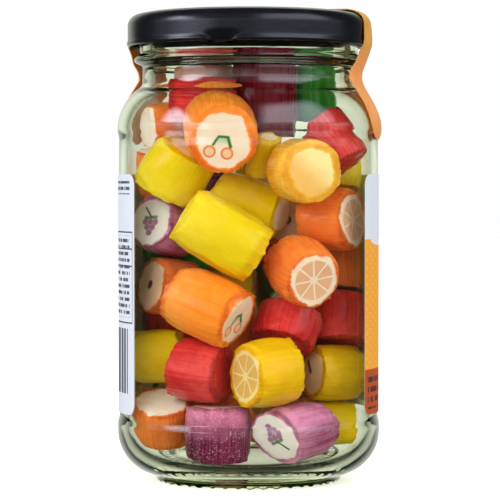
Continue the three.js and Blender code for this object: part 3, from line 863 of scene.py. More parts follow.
def make_shape(name, chop):
    """One shape of cut rod: a cylinder whose ends are drawn in and slanted, pressed flat in places, chipped and
    crumbled along its rims."""
    clear_selection()
    bpy.ops.mesh.primitive_cylinder_add(
        vertices=AROUND, radius=ROD_R * MM, depth=2 * ROD_HALF * MM, end_fill_type="NGON"
    )
    rod = named(bpy.context.object, "rod_" + name)
    bpy.ops.object.mode_set(mode="EDIT")
    select_edges(rod, lambda a, b: abs(a.z - b.z) > ROD_HALF * MM)
    bpy.ops.mesh.subdivide(number_cuts=9)
    for side, size in ((1, chop.top), (-1, chop.bottom)):
        for reach, share in ((0.30, 0.15), (0.50, 0.25), (0.70, 0.30), (0.90, 0.30)):
            select_edges(rod, lambda a, b: min(side * a.z, side * b.z) > reach * ROD_HALF * MM)
            shrink = 1 + (size - 1) * share
            bpy.ops.transform.resize(value=(shrink, shrink, 1), center_override=(0, 0, 0))
    select_edges(rod, lambda a, b: max(abs(a.z), abs(b.z)) < 0.5 * ROD_HALF * MM)
    bpy.ops.transform.resize(value=(chop.swell, chop.swell, 1), center_override=(0, 0, 0))
    for side, slant, axis in ((1, chop.slant_top, "X"), (-1, chop.slant_bottom, "Y")):
        select_where(rod, lambda middle, normal: side * normal.z > 0.9)
        bpy.ops.transform.rotate(
            value=math.radians(slant), orient_axis=axis, center_override=(0, 0, side * ROD_HALF * MM)
        )
    cuts = [(0, azimuth, 90, reach * ROD_R) for azimuth, reach in chop.flats]
    cuts += [(side, azimuth, lean, reach * math.hypot(ROD_R, ROD_HALF)) for side, azimuth, lean, reach in chop.chips]
    for side, azimuth, lean, reach in cuts:
        turn, tilt = math.radians(azimuth), math.radians(lean)
        rise = math.cos(tilt) * side
        out = Vector((math.sin(tilt) * math.cos(turn), math.sin(tilt) * math.sin(turn), rise)).normalized()
        bpy.ops.mesh.select_all(action="SELECT")
        bpy.ops.mesh.bisect(plane_co=out * reach * MM, plane_no=out, use_fill=True, clear_outer=True)
    bpy.ops.mesh.select_all(action="SELECT")
    bpy.ops.mesh.normals_make_consistent(inside=False)
    bpy.ops.object.mode_set(mode="OBJECT")
    modify(rod, "REMESH", mode="VOXEL", voxel_size=SURFACE_GRAIN * MM)
    modify(rod, "SMOOTH", factor=0.5, iterations=1)
    rim = rod.vertex_groups.new(name="rim")
    for vertex in rod.data.vertices:
        out = math.hypot(vertex.co.x, vertex.co.y) / (ROD_R * MM)
        along = abs(vertex.co.z) / (ROD_HALF * MM)
        weight = rim_share(out) * rim_share(along)
        if weight > 0:
            rim.add([vertex.index], weight, "REPLACE")
    crumbs = clouds("crumbled_rim", NIBBLE_SIZE)
    rumple(rod, crumbs, NIBBLE_DEPTH, vertex_group=rim.name, mid_level=NIBBLE_LEVEL)
    rod.vertex_groups.clear()
    return rod


def remember_place(rod):
    """Keeps each point's place in the rod, in radii, so that the rod's pattern stays with it wherever it lies."""
    places = rod.data.attributes.new("rod_place", "FLOAT_VECTOR", "POINT")
    for vertex, kept in zip(rod.data.vertices, places.data):
        kept.vector = vertex.co / (ROD_R * MM)


# ---- Sweets: where each one lies ----------------------------------------------------------------

# A sweet by its flavour, where its near end or its middle is seen in the photograph, in pixels, how deep it lies
# behind the jar's axis in millimetres, which way its end faces as azimuth and elevation, its roll, and its size.
Sweet = namedtuple("Sweet", "flavour chop anchor column row depth facing roll diameter length")

IN_VIEW = [
    Sweet("cherry", "slanted", "end", 217, 139, -26.5, (-6, -17), 0, 19.2, 17.0),
    Sweet("yellow", "square", "body", 178, 169, -14, (90, 70), 40, 18.0, 15.0),
    Sweet("yellow", "wedge", "body", 219, 236, -20.5, (86, -30), 90, 17.6, 22.5),
    Sweet("yellow", "slanted", "body", 247, 202, -3, (94, -20), 80, 14.0, 20.0),
    Sweet("yellow", "square", "end", 262, 139, -18, (5, 42), 160, 7.6, 13.5),
    Sweet("honey", "square", "end", 313, 171, -24.8, (16, -14), 0, 17.8, 12.5),
    Sweet("red", "square", "body", 332, 141, -5, (60, -55), 30, 13.9, 15.0),
    Sweet("yellow", "square", "body", 357, 161, 3, (0, 88), 0, 13.0, 16.0),
    Sweet("citrus", "square", "end", 352, 220, -8, (62, 0), 20, 17.4, 14.0),
    Sweet("citrus", "pinched", "end", 312, 290, -25.8, (27, -17), 8, 17.2, 13.0),
    Sweet("red", "square", "body", 290, 334, -12.5, (90, 67), 70, 18.0, 10.5),
    Sweet("red", "slanted", "body", 341, 317, -5, (10, -78), 30, 16.0, 15.0),
    Sweet("red", "chipped", "end", 221, 371, -18.5, (60, 0), 150, 17.2, 14.5),
    Sweet("lemon", "pinched", "end", 246.5, 376, -24.3, (-54, -6), 0, 18.2, 14.5),
    Sweet("pear", "square", "end", 310, 372, -5, (-62, 0), 0, 15.5, 13.5),
    Sweet("yellow", "square", "body", 331, 427, -2, (90, 0), 0, 15.0, 15.5),
    Sweet("grape", "slanted", "end", 273, 440, -24.2, (-45, -10), 200, 16.5, 17.0),
    Sweet("purple", "square", "body", 217, 436, -15.5, (0, 88), 0, 17.8, 16.0),
    Sweet("orange", "square", "end", 160, 398, -9, (-10, 55), 0, 16.2, 14.0),
    Sweet("yellow", "chipped", "body", 158, 362, 1, (85, 5), 0, 15.0, 13.0),
    Sweet("cherry", "chipped", "end", 232, 332, -24, (55, -30), 20, 18.0, 18.6),
    Sweet("dotted", "square", "end", 150, 287, -9, (-58, 0), 0, 16.0, 13.5),
    Sweet("grape", "square", "end", 158, 216, -12, (-25, 25), 0, 15.5, 14.5),
    Sweet("red", "square", "body", 155, 322, 2, (0, 88), 0, 14.5, 14.0),
    Sweet("orange", "square", "body", 160, 172, 5, (10, 70), 0, 15.5, 15.0),
    Sweet("orange", "pinched", "end", 149, 114, -4, (-56, 8), 0, 13.5, 10.5),
    Sweet("red", "pressed", "body", 202, 104, -4, (88, 6), 0, 13.0, 16.5),
    Sweet("blush", "square", "body", 196, 84, 8, (10, 87), 0, 18.0, 18.0),
    Sweet("plum", "square", "body", 264, 91, -2, (0, 88), 0, 18.0, 20.5),
    Sweet("green", "slanted", "body", 319, 86, 1, (80, 84), 0, 13.6, 17.5),
    Sweet("dotted", "square", "end", 286, 222, 0, (0, 0), 0, 15.0, 14.0),
    Sweet("orange", "square", "body", 343, 268, 2, (0, 88), 0, 14.0, 13.0),
]

# The sweets behind those, in layers from the floor up: three against the back, and one in the middle of every other.
HIDDEN_LAYERS = (13, 30, 47, 64, 81, 97)
HIDDEN_SPOTS = ((114, 25), (180, 24), (246, 25), (180, 7))  # azimuth, and how far from the axis
NECK_SPOTS = (("purple", 10, 15, 107), ("yellow", 20, 13, 101))  # across, deep, up
HIDDEN_FLAVOURS = (
    "red", "yellow", "cherry", "purple", "lemon", "green", "citrus", "grape", "honey", "orange", "dotted", "pear",
)
HIDDEN_DIAMETERS = (15.5, 17.5)
HIDDEN_LENGTHS = (14.0, 18.0)
HIDDEN_SEED = 11
TINT_SEED = 5


def seen_at(column, row, depth):
    """The place that a pixel of the photograph shows, at a depth in millimetres behind the jar's axis."""
    reach = depth * MM - CAMERA_PLACE.y
    across = CAMERA_PLACE.x + (column - IMAGE_PX / 2) / FOCAL_PX * reach
    up = CAMERA_PLACE.z - (row - HORIZON_ROW) / FOCAL_PX * reach
    return Vector((across, depth * MM, up))


def lying(facing, roll):
    """The turn that points a rod's +Z end at an azimuth and elevation, after a roll about its own length."""
    azimuth, elevation = (math.radians(angle) for angle in facing)
    level = math.cos(elevation)
    way = Vector((level * math.sin(azimuth), -level * math.cos(azimuth), math.sin(elevation)))
    return way.to_track_quat("Z", "Y") @ Quaternion((0, 0, 1), math.radians(roll)), way


def place_of(sweet):
    turn, way = lying(sweet.facing, sweet.roll)
    middle = seen_at(sweet.column, sweet.row, sweet.depth)
    if sweet.anchor == "end":
        middle = middle - way * sweet.length / 2 * MM
    return Matrix.Translation(middle) @ turn.to_matrix().to_4x4()


def hidden_sweets():
    """The sweets that only show from behind and between the others, with a fixed shuffle of turns and flavours."""
    rng = random.Random(HIDDEN_SEED)
    made = []
    for layer, height in enumerate(HIDDEN_LAYERS):
        odd = layer % 2
        for spot, (azimuth, reach) in enumerate(HIDDEN_SPOTS[: len(HIDDEN_SPOTS) - odd]):
            turn = math.radians(azimuth + 20 * odd - 10 + rng.uniform(-5, 5))
            flavour = HIDDEN_FLAVOURS[(5 * layer + 3 * spot + rng.randrange(3)) % len(HIDDEN_FLAVOURS)]
            made.append((flavour, Vector((reach * math.sin(turn), -reach * math.cos(turn), height))))
    made += [(flavour, Vector(spot)) for flavour, *spot in NECK_SPOTS]
    placed = []
    for flavour, middle in made:
        turn = Euler([rng.uniform(0, TAU) for _ in range(3)]).to_matrix().to_4x4()
        chop = rng.choice(sorted(CHOPS))
        diameter, length = rng.uniform(*HIDDEN_DIAMETERS), rng.uniform(*HIDDEN_LENGTHS)
        sweet = Sweet(flavour, chop, "body", 0, 0, 0, (0, 0), 0, diameter, length)
        placed.append((sweet, Matrix.Translation(middle * MM) @ turn))
    return placed


PART_STEPS = 260  # steps in which the sweets in view are pushed apart, near where the photograph shows them
FILL_STEPS = 420  # steps in which the hidden ones grow, sink and are pushed apart behind them
EASE_STEPS = 90  # steps after a hidden one that found no room is taken out
GROWING_STEPS = 160
LOOSE_STEPS = 60  # the last steps of each, in which nothing pulls a sweet back or down
PULL_BACK = (0.10, 0.004, 0.10)  # across, in depth, and up
FALL_PER_STEP = 0.15
SEEN_TURN = 0.03  # how little a sweet in view turns
CLEARANCE = 0.10
HELD_SHARE = 0.03  # how readily a held sweet gives way, beside a hidden one
NEAR_SHARE = 0.12
NO_ROOM = 0.9  # a hidden sweet that is still this far inside another is left out
NEAR_GLASS = -14  # a sweet this near the front glass keeps its place better than those behind it


def outside_wall(radius, height):
    """How far a place is outside the jar's inner wall, in millimetres, from its distance to the axis and its height."""
    corner_r, corner_z = BORE_R - FLOOR_ROUND, FLOOR_Z + FLOOR_ROUND
    shoulder_r = BORE_R - INNER_SHOULDER_ROUND
    low = np.where(
        radius > corner_r, np.hypot(radius - corner_r, height - corner_z) - FLOOR_ROUND, FLOOR_Z + 0.5 - height
    )
    high = np.where(
        radius > shoulder_r,
        np.hypot(radius - shoulder_r, height - SHOULDER_Z) - INNER_SHOULDER_ROUND,
        height - SHOULDER_Z - INNER_SHOULDER_ROUND,
    )
    body = np.where(height < corner_z, low, np.where(height > SHOULDER_Z, high, radius - BORE_R))
    neck = np.maximum(np.maximum(radius - MOUTH_R, height - HEAP_TOP_Z), FLOOR_Z - height)
    return np.minimum(body, neck)


def feeler_points():
    """Points all over a rod of radius 1 and half length 1, as rows of across, across and along."""
    rows = []
    for along, out, count in ((1, 0, 1), (1, 0.55, 6), (1, 0.93, 14), (0.86, 1, 14), (0.45, 1, 12), (0, 1, 12)):
        for side in (1, -1) if along else (1,):
            for i in range(count):
                turn = TAU * (i + 0.5 * (side < 0)) / count
                rows.append((out * math.cos(turn), out * math.sin(turn), side * along))
    return np.array(rows)


def turn_by(turns, spins):
    """Turns a stack of rotation matrices by small rotation vectors."""
    angle = np.linalg.norm(spins, axis=1)
    axis = spins / np.maximum(angle, 1e-9)[:, None]
    cross = np.zeros((len(spins), 3, 3))
    cross[:, 0, 1], cross[:, 0, 2], cross[:, 1, 2] = -axis[:, 2], axis[:, 1], -axis[:, 0]
    cross = cross - cross.transpose(0, 2, 1)
    sine, rest = np.sin(angle)[:, None, None], (1 - np.cos(angle))[:, None, None]
    return (np.eye(3) + sine * cross + rest * cross @ cross) @ turns


def push_apart(placed, held, steps):
    """Pushes sweets apart where they overlap. The first ones are held as they lie; the others sink, or if none is
    held, stay near their places."""
    at = np.array([place.translation / MM for _, place in placed])
    turns = np.array([place.to_3x3() for _, place in placed])
    full = np.array([(sweet.diameter / 2, sweet.diameter / 2, sweet.length / 2) for sweet, _ in placed]) + CLEARANCE
    reach = np.hypot(full[:, 0], full[:, 2])
    kept = np.arange(len(placed)) < held
    aim = np.array([place.translation / MM for place in map(place_of, IN_VIEW)] + [(0, 0, 0)] * len(placed))[: len(at)]
    near_glass = np.array([0 if held else sweet.depth < NEAR_GLASS for sweet, _ in placed])
    yields = np.where(kept, HELD_SHARE, np.where(near_glass, NEAR_SHARE, 1.0))
    twists = yields * np.where(kept | (held == 0), SEEN_TURN, 1.0) / (0.4 * reach**2)
    feelers = feeler_points()

    def touching(sizes):
        return at[:, None, :] + np.einsum("nij,nmj->nmi", turns, feelers * sizes[:, None, :])

    def shift(parts, calm):
        """Moves and turns the sweets by pushes, each a list of who, contact, way and how far."""
        nonlocal at, turns
        move, spin, hits = np.zeros_like(at), np.zeros_like(at), np.zeros(len(at))
        for who, contact, way, far in parts:
            np.add.at(move, who, way * (far * yields[who])[:, None])
            np.add.at(spin, who, np.cross(contact - at[who], way) * (far * twists[who])[:, None])
            np.add.at(hits, who, 1)
        calm = 1 / np.maximum(1, hits * calm)[:, None]
        at = at + move * calm
        turns = turn_by(turns, spin * calm)

    for step in range(steps):
        grown = min(1.0, 0.55 + 0.45 * step / GROWING_STEPS) if steps == FILL_STEPS else 1.0
        sizes = full * np.where(kept, 1.0, grown)[:, None]
        if step < steps - LOOSE_STEPS:
            at = at + np.where(kept[:, None] | (held == 0), (aim - at) * PULL_BACK, (0, 0, -FALL_PER_STEP))

        touch = touching(sizes)
        gaps = np.linalg.norm(at[:, None] - at[None], axis=2) - reach[:, None] - reach[None]
        a, b = np.nonzero((gaps < 0) & ~np.eye(len(at), dtype=bool))
        inside = np.einsum("kmi,kij->kmj", touch[a] - at[b][:, None], turns[b])
        out = np.hypot(inside[..., 0], inside[..., 1])
        radial, axial = out - sizes[b, 0, None], np.abs(inside[..., 2]) - sizes[b, 2, None]
        depth = np.maximum(-np.maximum(radial, axial), 0)
        way = np.where(
            (radial > axial)[..., None],
            inside * (1, 1, 0) / np.maximum(out, 1e-6)[..., None],
            np.sign(inside) * (0, 0, 1),
        )
        deepest = depth.max(axis=1)
        hit = deepest > 0
        a, b, deepest, depth, way = a[hit], b[hit], deepest[hit], depth[hit], way[hit]
        share = depth / depth.sum(axis=1)[:, None]
        contact = np.einsum("km,kmi->ki", share, touch[a])
        normal = np.einsum("kij,kmj,km->ki", turns[b], way, share)
        normal /= np.maximum(np.linalg.norm(normal, axis=1), 1e-6)[:, None]
        far = deepest / (yields[a] + yields[b])
        shift([(a, contact, normal, far), (b, contact, -normal, far)], 0.5)

        touch = touching(sizes)
        out = np.hypot(touch[..., 0], touch[..., 1])
        beyond = outside_wall(out, touch[..., 2])
        rise = outside_wall(out, touch[..., 2] + 0.01) - beyond
        widen = outside_wall(out + 0.01, touch[..., 2]) - beyond
        slope = np.stack([widen * touch[..., 0] / out, widen * touch[..., 1] / out, rise], axis=2)
        slope /= np.maximum(np.linalg.norm(slope, axis=2), 1e-9)[..., None]
        depth = np.maximum(beyond, 0)
        who = np.nonzero(depth.max(axis=1) > 0)[0]
        share = depth[who] / depth[who].sum(axis=1)[:, None]
        contact = np.einsum("km,kmi->ki", share, touch[who])
        normal = -np.einsum("kmi,km->ki", slope[who], share)
        shift([(who, contact, normal, depth[who].max(axis=1) / yields[who])], 1)
    worst = np.zeros(len(at))
    np.maximum.at(worst, a, deepest)
    np.maximum.at(worst, b, deepest)
    worst = np.maximum(worst, beyond.max(axis=1))
    moved = [
        (sweet, Matrix.Translation(Vector(place) * MM) @ Matrix(turn.tolist()).to_4x4())
        for (sweet, _), place, turn in zip(placed, at, turns)
    ]
    return moved, worst


def pack_jar():
    """The sweets in view, pushed apart, and as many hidden ones behind them as find room."""
    placed, _ = push_apart([(sweet, place_of(sweet)) for sweet in IN_VIEW], 0, PART_STEPS)
    placed, worst = push_apart(placed + hidden_sweets(), len(IN_VIEW), FILL_STEPS)
    while worst[len(IN_VIEW) :].max() > NO_ROOM:
        placed.pop(len(IN_VIEW) + int(worst[len(IN_VIEW) :].argmax()))
        placed, worst = push_apart(placed, len(IN_VIEW), EASE_STEPS)
    return placed


# ---- Sweets: their finish -----------------------------------------------------------------------


def cherries(w, x, y, field):
    """Two outlined cherries on forked green stems."""
    for centre in ((-0.40, -0.24), (0.07, -0.34)):
        spot, away = w.disc(x, y, centre, 0.155, 0.02)
        field = w.mix(w.times(spot, 0.55), field, colour(236, 172, 128))
        field = w.mix(w.within(away, 0.10, 0.14, 0.155, 0.19), field, colour(222, 124, 70))
    leaf = w.times(w.stroke(x, y, (-0.10, 0.06), (0.08, 0.03), 0.09, 0.09), 0.5)
    field = w.mix(leaf, field, colour(120, 176, 110))
    stems = w.most(
        w.stroke(x, y, (-0.28, -0.06), (-0.10, 0.16), 0.035, 0.025),
        w.stroke(x, y, (-0.10, 0.16), (0.13, 0.12), 0.05, 0.03),
        w.stroke(x, y, (0.13, 0.12), (0.18, -0.16), 0.045, 0.025),
    )
    return w.mix(stems, field, colour(18, 112, 44))


def citrus_wheel(pulp, count, reach):
    """The segments of a sliced citrus round, out to a reach in radii."""

    def draw(w, x, y, field):
        turn = w.math("ARCTAN2", y, x)
        away = w.reach(x, y)
        beat = w.math("ABSOLUTE", w.math("SINE", w.times(turn, count / 2)))
        skin = w.step(w.times(beat, away), 0.075, 0.13)
        inside = w.times(skin, w.within(away, 0.10, 0.15, reach - 0.06, reach))
        return w.mix(w.times(inside, 0.85), field, pulp)

    return draw


def grapes(w, x, y, field):
    """A bunch of purple grapes under a green stalk and leaf."""
    berries = []
    for row, across in enumerate(((-0.20, 0.0, 0.20), (-0.10, 0.10), (0.0,))):
        for step in across:
            berries.append(w.disc(x, y, (step, -0.19 * row), 0.115, 0.03)[0])
    field = w.mix(w.times(w.most(*berries), 0.85), field, colour(150, 74, 128))
    leaf = w.stroke(x, y, (-0.22, 0.14), (0.22, 0.17), 0.055, 0.035)
    stalk = w.stroke(x, y, (-0.26, 0.50), (0.02, 0.16), 0.032, 0.02)
    return w.mix(w.most(w.times(leaf, 0.85), stalk), field, colour(34, 104, 52))


def dark_berry(w, x, y, field):
    """One dark berry in the middle."""
    spot, _ = w.disc(x, y, (0.0, 0.02), 0.15, 0.05)
    return w.mix(spot, field, colour(62, 28, 44))


def leaf_mark(w, x, y, field):
    """One green leaf."""
    leaf = w.stroke(x, y, (-0.30, 0.34), (-0.12, 0.05), 0.09, 0.04)
    return w.mix(leaf, field, colour(24, 104, 30))


def plain_core(w, x, y, field):
    return field


def milky_core(w, x, y, field):
    """A core that is paler on one side."""
    return w.mix(w.step(w.plus(x, y), -0.5, 0.7), field, colour(250, 226, 168))


# A flavour by the jacket's colour, that of its pale streaks, which is also painted on as light, of its deep bands
# and of the rim at its cut ends; how much there is of the bands and the streaks, and how much painted light pales it
# towards one end, as if that end were lit and the other shaded; and the core's colour, its share of the radius, how
# much loose sugar clings to it, and what is drawn in it.
Flavour = namedtuple("Flavour", "jacket streak deep skin banding streaking fade core core_size dust motif")
FLAVOURS = {
    "cherry": Flavour(colour(252, 142, 28), colour(253, 170, 92), colour(240, 112, 6), colour(200, 66, 20), 0.35, 0.45,
                      -0.5, colour(238, 214, 202), 0.73, 0.10, cherries),
    "citrus": Flavour(colour(242, 130, 52), colour(248, 160, 96), colour(222, 92, 24), colour(190, 56, 24), 0.45, 0.45,
                      0.0, colour(244, 222, 210), 0.78, 0.14, citrus_wheel(colour(230, 168, 130), 8, 0.66)),
    "orange": Flavour(colour(240, 134, 56), colour(250, 166, 104), colour(222, 98, 34), colour(200, 70, 34), 0.4, 0.45,
                      0.0, colour(242, 228, 224), 0.84, 0.12, plain_core),
    "dotted": Flavour(colour(226, 116, 56), colour(240, 150, 96), colour(196, 80, 36), colour(170, 56, 36), 0.5, 0.45,
                      0.0, colour(226, 186, 160), 0.82, 0.12, dark_berry),
    "yellow": Flavour(colour(230, 203, 2), colour(238, 212, 50), colour(226, 184, 0), colour(206, 152, 0), 0.6, 0.30,
                      -0.9, colour(242, 214, 190), 0.62, 0.04, plain_core),
    "honey": Flavour(colour(238, 176, 36), colour(248, 212, 104), colour(226, 138, 6), colour(222, 136, 6), 0.5, 0.45,
                     0.4, colour(240, 186, 110), 0.68, 0.04, milky_core),
    "lemon": Flavour(colour(237, 190, 2), colour(244, 206, 44), colour(226, 164, 0), colour(206, 142, 0), 0.5, 0.45,
                     0.0, colour(240, 216, 160), 0.72, 0.06, citrus_wheel(colour(220, 170, 84), 8, 0.66)),
    "pear": Flavour(colour(220, 178, 2), colour(234, 200, 44), colour(196, 142, 0), colour(180, 126, 0), 0.5, 0.45,
                    0.0, colour(232, 212, 172), 0.72, 0.06, leaf_mark),
    "red": Flavour(colour(222, 40, 46), colour(246, 110, 106), colour(176, 10, 22), colour(140, 8, 20), 0.6, 0.5,
                   0.3, colour(208, 48, 54), 0.60, 0.26, plain_core),
    "blush": Flavour(colour(240, 172, 158), colour(246, 204, 190), colour(222, 140, 126), colour(196, 90, 90), 0.5, 0.4,
                     0.0, colour(240, 216, 210), 0.74, 0.04, plain_core),
    "grape": Flavour(colour(212, 126, 178), colour(236, 168, 206), colour(124, 34, 80), colour(84, 18, 52), 0.8, 0.45,
                     0.3, colour(232, 226, 226), 0.80, 0.40, grapes),
    "purple": Flavour(colour(118, 18, 72), colour(208, 118, 160), colour(66, 2, 34), colour(78, 12, 46), 0.7, 0.22,
                      1.0, colour(226, 178, 176), 0.74, 0.62, plain_core),
    "plum": Flavour(colour(108, 2, 28), colour(126, 10, 42), colour(76, 0, 10), colour(60, 0, 16), 0.6, 0.4,
                    0.0, colour(214, 150, 160), 0.74, 0.04, plain_core),
    "green": Flavour(colour(44, 156, 44), colour(110, 192, 100), colour(18, 112, 22), colour(12, 92, 20), 0.5, 0.5,
                     0.5, colour(220, 232, 206), 0.74, 0.08, plain_core),
}

FINENESS = 9.0
CORE_WOBBLE = 0.07
TINT_SHARE = 0.15  # how much more of the deep bands one sweet has than another
STREAK_SHARE = 0.65
CLOUD_SHARE = 0.30
RIM_SHARE = 0.6
MILK_SHARE = 0.3
DUST_SHARE = 0.34
LOOSE_SUGAR = colour(240, 216, 224)
SUGAR_SOCKETS = {
    "Specular IOR Level": 0.24,
    "Subsurface Weight": 0.65,
    "Subsurface Radius": (1.0, 0.6, 0.4),
    "Subsurface Scale": 0.003,
    "Coat Weight": 0.25,
    "Coat Roughness": 0.12,
}


def sweet_finish(name, flavour):
    """Boiled sugar: a streaked jacket, a pale core with its motif, a dark line round the cut, and loose sugar."""
    material, w, shader = new_material("rock_" + name)
    place = w.add("ShaderNodeAttribute", attribute_name="rod_place", attribute_type="GEOMETRY").outputs["Vector"]
    tint = w.add("ShaderNodeAttribute", attribute_name="rod_tint", attribute_type="GEOMETRY").outputs["Fac"]
    x, y, along = w.split(place)
    end = w.group(CUT_END, Vector=place, Core=flavour.core_size, Wobble=CORE_WOBBLE)
    pulled = w.group(PULLED_SUGAR, Vector=place, Fineness=FINENESS, Seed=tint)
    where = object_place(w)
    dust = w.group(SUGAR_DUST, Vector=w.scaled(where, (100, 100, 100)), Amount=flavour.dust)["Grains"]

    band = w.plus(w.times(pulled["Band"], flavour.banding), w.times(tint, TINT_SHARE))
    jacket = w.mix(band, flavour.jacket, flavour.deep)
    jacket = w.mix(w.times(pulled["Streak"], STREAK_SHARE * flavour.streaking), jacket, flavour.streak)
    # Painted light: the jacket is paled towards one end, as if that end were lit and the other in shade.
    painted_lit_end = w.step(w.times(along, math.copysign(1, flavour.fade)), -0.3, 0.75)
    jacket = w.mix(w.times(painted_lit_end, abs(flavour.fade)), jacket, flavour.streak)
    jacket = w.mix(w.times(w.step(end["Milk"], 0.42, 0.66), CLOUD_SHARE), jacket, flavour.deep)
    jacket = w.mix(w.times(end["Rim"], RIM_SHARE), jacket, flavour.skin)
    core = w.mix(w.step(end["Milk"], 0.40, 0.75), flavour.core, w.mix(MILK_SHARE, flavour.core, flavour.streak))
    core = flavour.motif(w, x, y, core)
    field = w.mix(end["Core"], jacket, core)
    w.feed(shader.inputs["Base Color"], w.mix(w.times(dust, DUST_SHARE), field, LOOSE_SUGAR))
    satin = w.plus(0.20, w.times(pulled["Streak"], 0.18))
    rough = w.plus(satin, w.times(end["Core"], 0.14))
    w.feed(shader.inputs["Roughness"], w.most(rough, w.times(dust, 0.7)))
    relief = w.plus(pulled["Height"], w.times(w.noise(where, 1500.0, detail=2.0), 0.12))
    emboss(w, shader, relief, strength=0.16, distance=0.0005)
    for socket, value in SUGAR_SOCKETS.items():
        shader.inputs[socket].default_value = value
    return material


def make_sweets():
    """Every sweet as its own irregular rod, joined into one piece for each flavour."""
    shapes = {name: make_shape(name, chop) for name, chop in CHOPS.items()}
    for shape in shapes.values():
        remember_place(shape)
    by_flavour = {}
    rng = random.Random(TINT_SEED)
    for i, (sweet, place) in enumerate(pack_jar()):
        pick(shapes[sweet.chop])
        bpy.ops.object.duplicate()
        rod = named(bpy.context.object, f"sweet_{i}")
        size = Matrix.Diagonal((sweet.diameter / 2 / ROD_R, sweet.diameter / 2 / ROD_R, sweet.length / 2 / ROD_HALF, 1))
        rod.data.transform(place @ size)
        tints = rod.data.attributes.new("rod_tint", "FLOAT", "POINT")
        tints.data.foreach_set("value", [rng.uniform(0, 1)] * len(rod.data.vertices))
        by_flavour.setdefault(sweet.flavour, []).append(rod)
    for shape in shapes.values():
        bpy.data.objects.remove(shape)
    lumps = clouds("hand_lumps", LUMP_SIZE)
    pieces = []
    for flavour, rods in by_flavour.items():
        pick(rods[0])
        for rod in rods[1:]:
            rod.select_set(True)
        if len(rods) > 1:
            bpy.ops.object.join()
        piece = named(bpy.context.object, "sweets_" + flavour)
        rumple(piece, lumps, LUMP_DEPTH, mid_level=LUMP_LEVEL)
        smooth(piece, 38)
        give(piece, sweet_finish(flavour, FLAVOURS[flavour]))
        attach(piece, "root")
        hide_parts("candy_heap")
        pieces.append(piece)
    return pieces


# ---- Studio -------------------------------------------------------------------------------------

FLOOR_SEEN = (0.94, 0.94, 0.94, 1)
FLOOR_BESIDE = (0.5, 0.5, 0.47, 1)  # the floor as the jar is lit by it
FLOOR_GLOW = 0.35
COOL = (0.92, 0.98, 1.15, 1)  # the tint of the soft boxes
LEFT_BOX = 7.0
RIGHT_BOX = 2.2
LOW_BOX = 1.1
BETWEEN_BOXES = 0.15
# Where each light starts, is full, fades and ends, up or across, in the direction that a ray goes.
HIGH_BOX_UP = (0.17, 0.23, 0.74, 0.86)
LOW_BOX_UP = (0.070, 0.085, 0.12, 0.22)
STRIP_ACROSS = (-0.98, -0.88, -0.64, -0.50)
SHEEN_UP = (0.46, 0.56, 0.74, 0.84)
SHEEN_ACROSS = (-0.62, -0.50, 0.25, 0.40)
DIM_LIGHT = (0.025, 0.03, 0.02, 1)  # what the gloss mirrors where there is no box
WHITE_BEHIND = (0.91, 0.95, 0.83, 1)
SIDES = (0.36, 0.45, 0.20, 1)  # the room beside the jar, as the glass bends it
DARK_SIDES = (0.15, 0.20, 0.09, 1)
FLANKS = (0.45, 0.52, 0.36, 1)
BELOW = (0.86, 0.90, 0.76, 1)
WHITE = (1, 1, 1, 1)
AMBIENT_HIGH = 1.25  # the light of the white room, from above and from below
AMBIENT_LOW = 0.60
STRIP_LIGHT = 4.5  # the upright lamp on the left, as the lid mirrors it
SHEEN_LIGHT = 5.0  # the lamp over the camera, as the sweets mirror it through the glass
LAMPS = (  # place, size of the square, and watts
    ("key", (-0.45, -0.80, 0.50), 0.6, 5.5),
    ("fill", (0.70, -0.60, 0.30), 0.5, 1.8),
    ("back", (0.1, 0.7, 0.75), 0.6, 3.0),
)


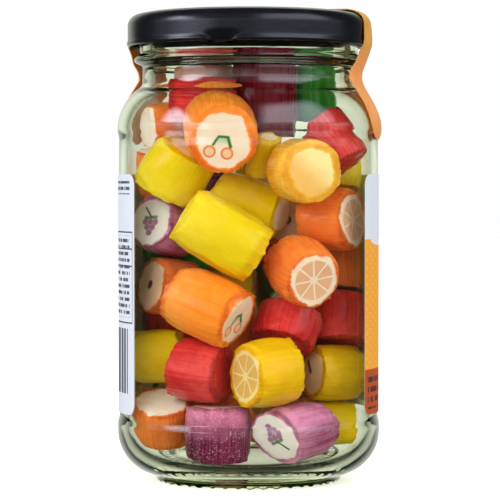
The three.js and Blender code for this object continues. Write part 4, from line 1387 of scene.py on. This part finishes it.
def make_studio():
    clear_selection()
    bpy.ops.mesh.primitive_circle_add(vertices=96, radius=3.0, fill_type="NGON", location=(0, 0, -0.0002))
    floor = named(bpy.context.object, "floor")
    material, w, shader = new_material("white_floor")
    from_camera = w.add("ShaderNodeLightPath").outputs["Is Camera Ray"]
    w.feed(shader.inputs["Base Color"], w.mix(from_camera, FLOOR_BESIDE, FLOOR_SEEN))
    shader.inputs["Roughness"].default_value = 0.6
    shader.inputs["Emission Color"].default_value = WHITE
    w.feed(shader.inputs["Emission Strength"], w.times(from_camera, FLOOR_GLOW))
    give(floor, material)
    floor.visible_glossy = False
    floor.visible_transmission = False

    world = bpy.data.worlds.new("white_studio")
    scene.world = world
    world.use_nodes = True
    w = Wiring(world.node_tree)
    nodes = world.node_tree.nodes
    x, y, z = w.split(w.add("ShaderNodeTexCoord").outputs["Generated"])
    path = w.add("ShaderNodeLightPath").outputs

    # What shows in the gloss: a soft box high on the left and a dimmer one on the right, which the shoulder and the
    # rounded edge of the lid mirror, a low one that only the lid mirrors, and white behind the jar.
    high = w.times(w.step(y, -0.05, -0.20), w.within(z, *HIGH_BOX_UP))
    low = w.times(w.step(y, 0.25, 0.05), w.within(z, *LOW_BOX_UP))
    strip = w.within(x, *STRIP_ACROSS)
    light = w.times(w.step(x, -0.74, -0.84), LEFT_BOX)
    light = w.plus(light, w.times(w.step(x, 0.10, 0.30), RIGHT_BOX))
    light = w.times(w.plus(light, BETWEEN_BOXES), high)
    ends = w.plus(LOW_BOX, w.times(strip, STRIP_LIGHT - LOW_BOX))
    light = w.plus(light, w.times(ends, low))
    gloss = w.mix(1.0, w.join(light, light, light), COOL, blend="MULTIPLY")
    gloss = w.mix(1.0, gloss, DIM_LIGHT, blend="ADD")
    gloss = w.mix(w.step(y, 0.66, 0.90), gloss, WHITE_BEHIND)
    # What shows bent through the glass: white behind the jar, green sides that are darkest near eye level, pale light
    # from below, and the lamp over the camera as the sweets mirror it.
    overhead = w.times(w.within(z, *SHEEN_UP), w.within(x, *SHEEN_ACROSS), w.step(y, 0.0, -0.2), SHEEN_LIGHT)
    level = w.step(w.math("ABSOLUTE", w.plus(z, 0.03)), 0.13, 0.06)
    sides = w.mix(level, SIDES, DARK_SIDES)
    sides = w.mix(w.step(w.math("ABSOLUTE", x), 0.88, 0.97), sides, FLANKS)
    sides = w.mix(w.step(z, -0.11, -0.25), sides, BELOW)
    bent = w.mix(w.step(y, 0.70, 0.92), sides, WHITE)
    bent = w.mix(1.0, bent, w.join(overhead, overhead, overhead), blend="LIGHTEN")
    seen = w.mix(path["Is Glossy Ray"], bent, gloss)
    ambient = w.plus(AMBIENT_LOW, w.times(w.step(z, -0.5, 0.8), AMBIENT_HIGH - AMBIENT_LOW))
    seen = w.mix(path["Is Diffuse Ray"], seen, w.join(ambient, ambient, ambient))
    seen = w.mix(path["Is Camera Ray"], seen, WHITE)
    w.feed(nodes["Background"].inputs["Color"], seen)
    world.cycles.sampling_method = "NONE"  # so that every ray sees the part of the studio that is meant for its kind

    for name, place, size, power in LAMPS:
        lamp = bpy.data.lights.new(name, "AREA")
        lamp.shape = "SQUARE"
        lamp.size = size
        lamp.energy = power
        obj = bpy.data.objects.new(name, lamp)
        scene.collection.objects.link(obj)
        obj.location = place
        obj.rotation_euler = (Vector((0, 0, 0.06)) - Vector(place)).to_track_quat("-Z", "Y").to_euler()
        obj.visible_glossy = False
        obj.visible_transmission = False


def make_camera():
    data = bpy.data.cameras.new("camera")
    data.sensor_width = SENSOR
    data.lens = SENSOR * FOCAL_PX / IMAGE_PX
    data.clip_start = 0.01
    camera = bpy.data.objects.new("camera", data)
    scene.collection.objects.link(camera)
    camera.location = CAMERA_PLACE
    camera.rotation_euler = (math.pi / 2 - CAMERA_PITCH, 0, 0)
    scene.camera = camera


scene.view_settings.view_transform = "Standard"
scene.cycles.caustics_refractive = False
scene.cycles.caustics_reflective = False
make_camera()
make_studio()
make_glass()
make_lid()
make_label()
make_seal()
make_sweets()
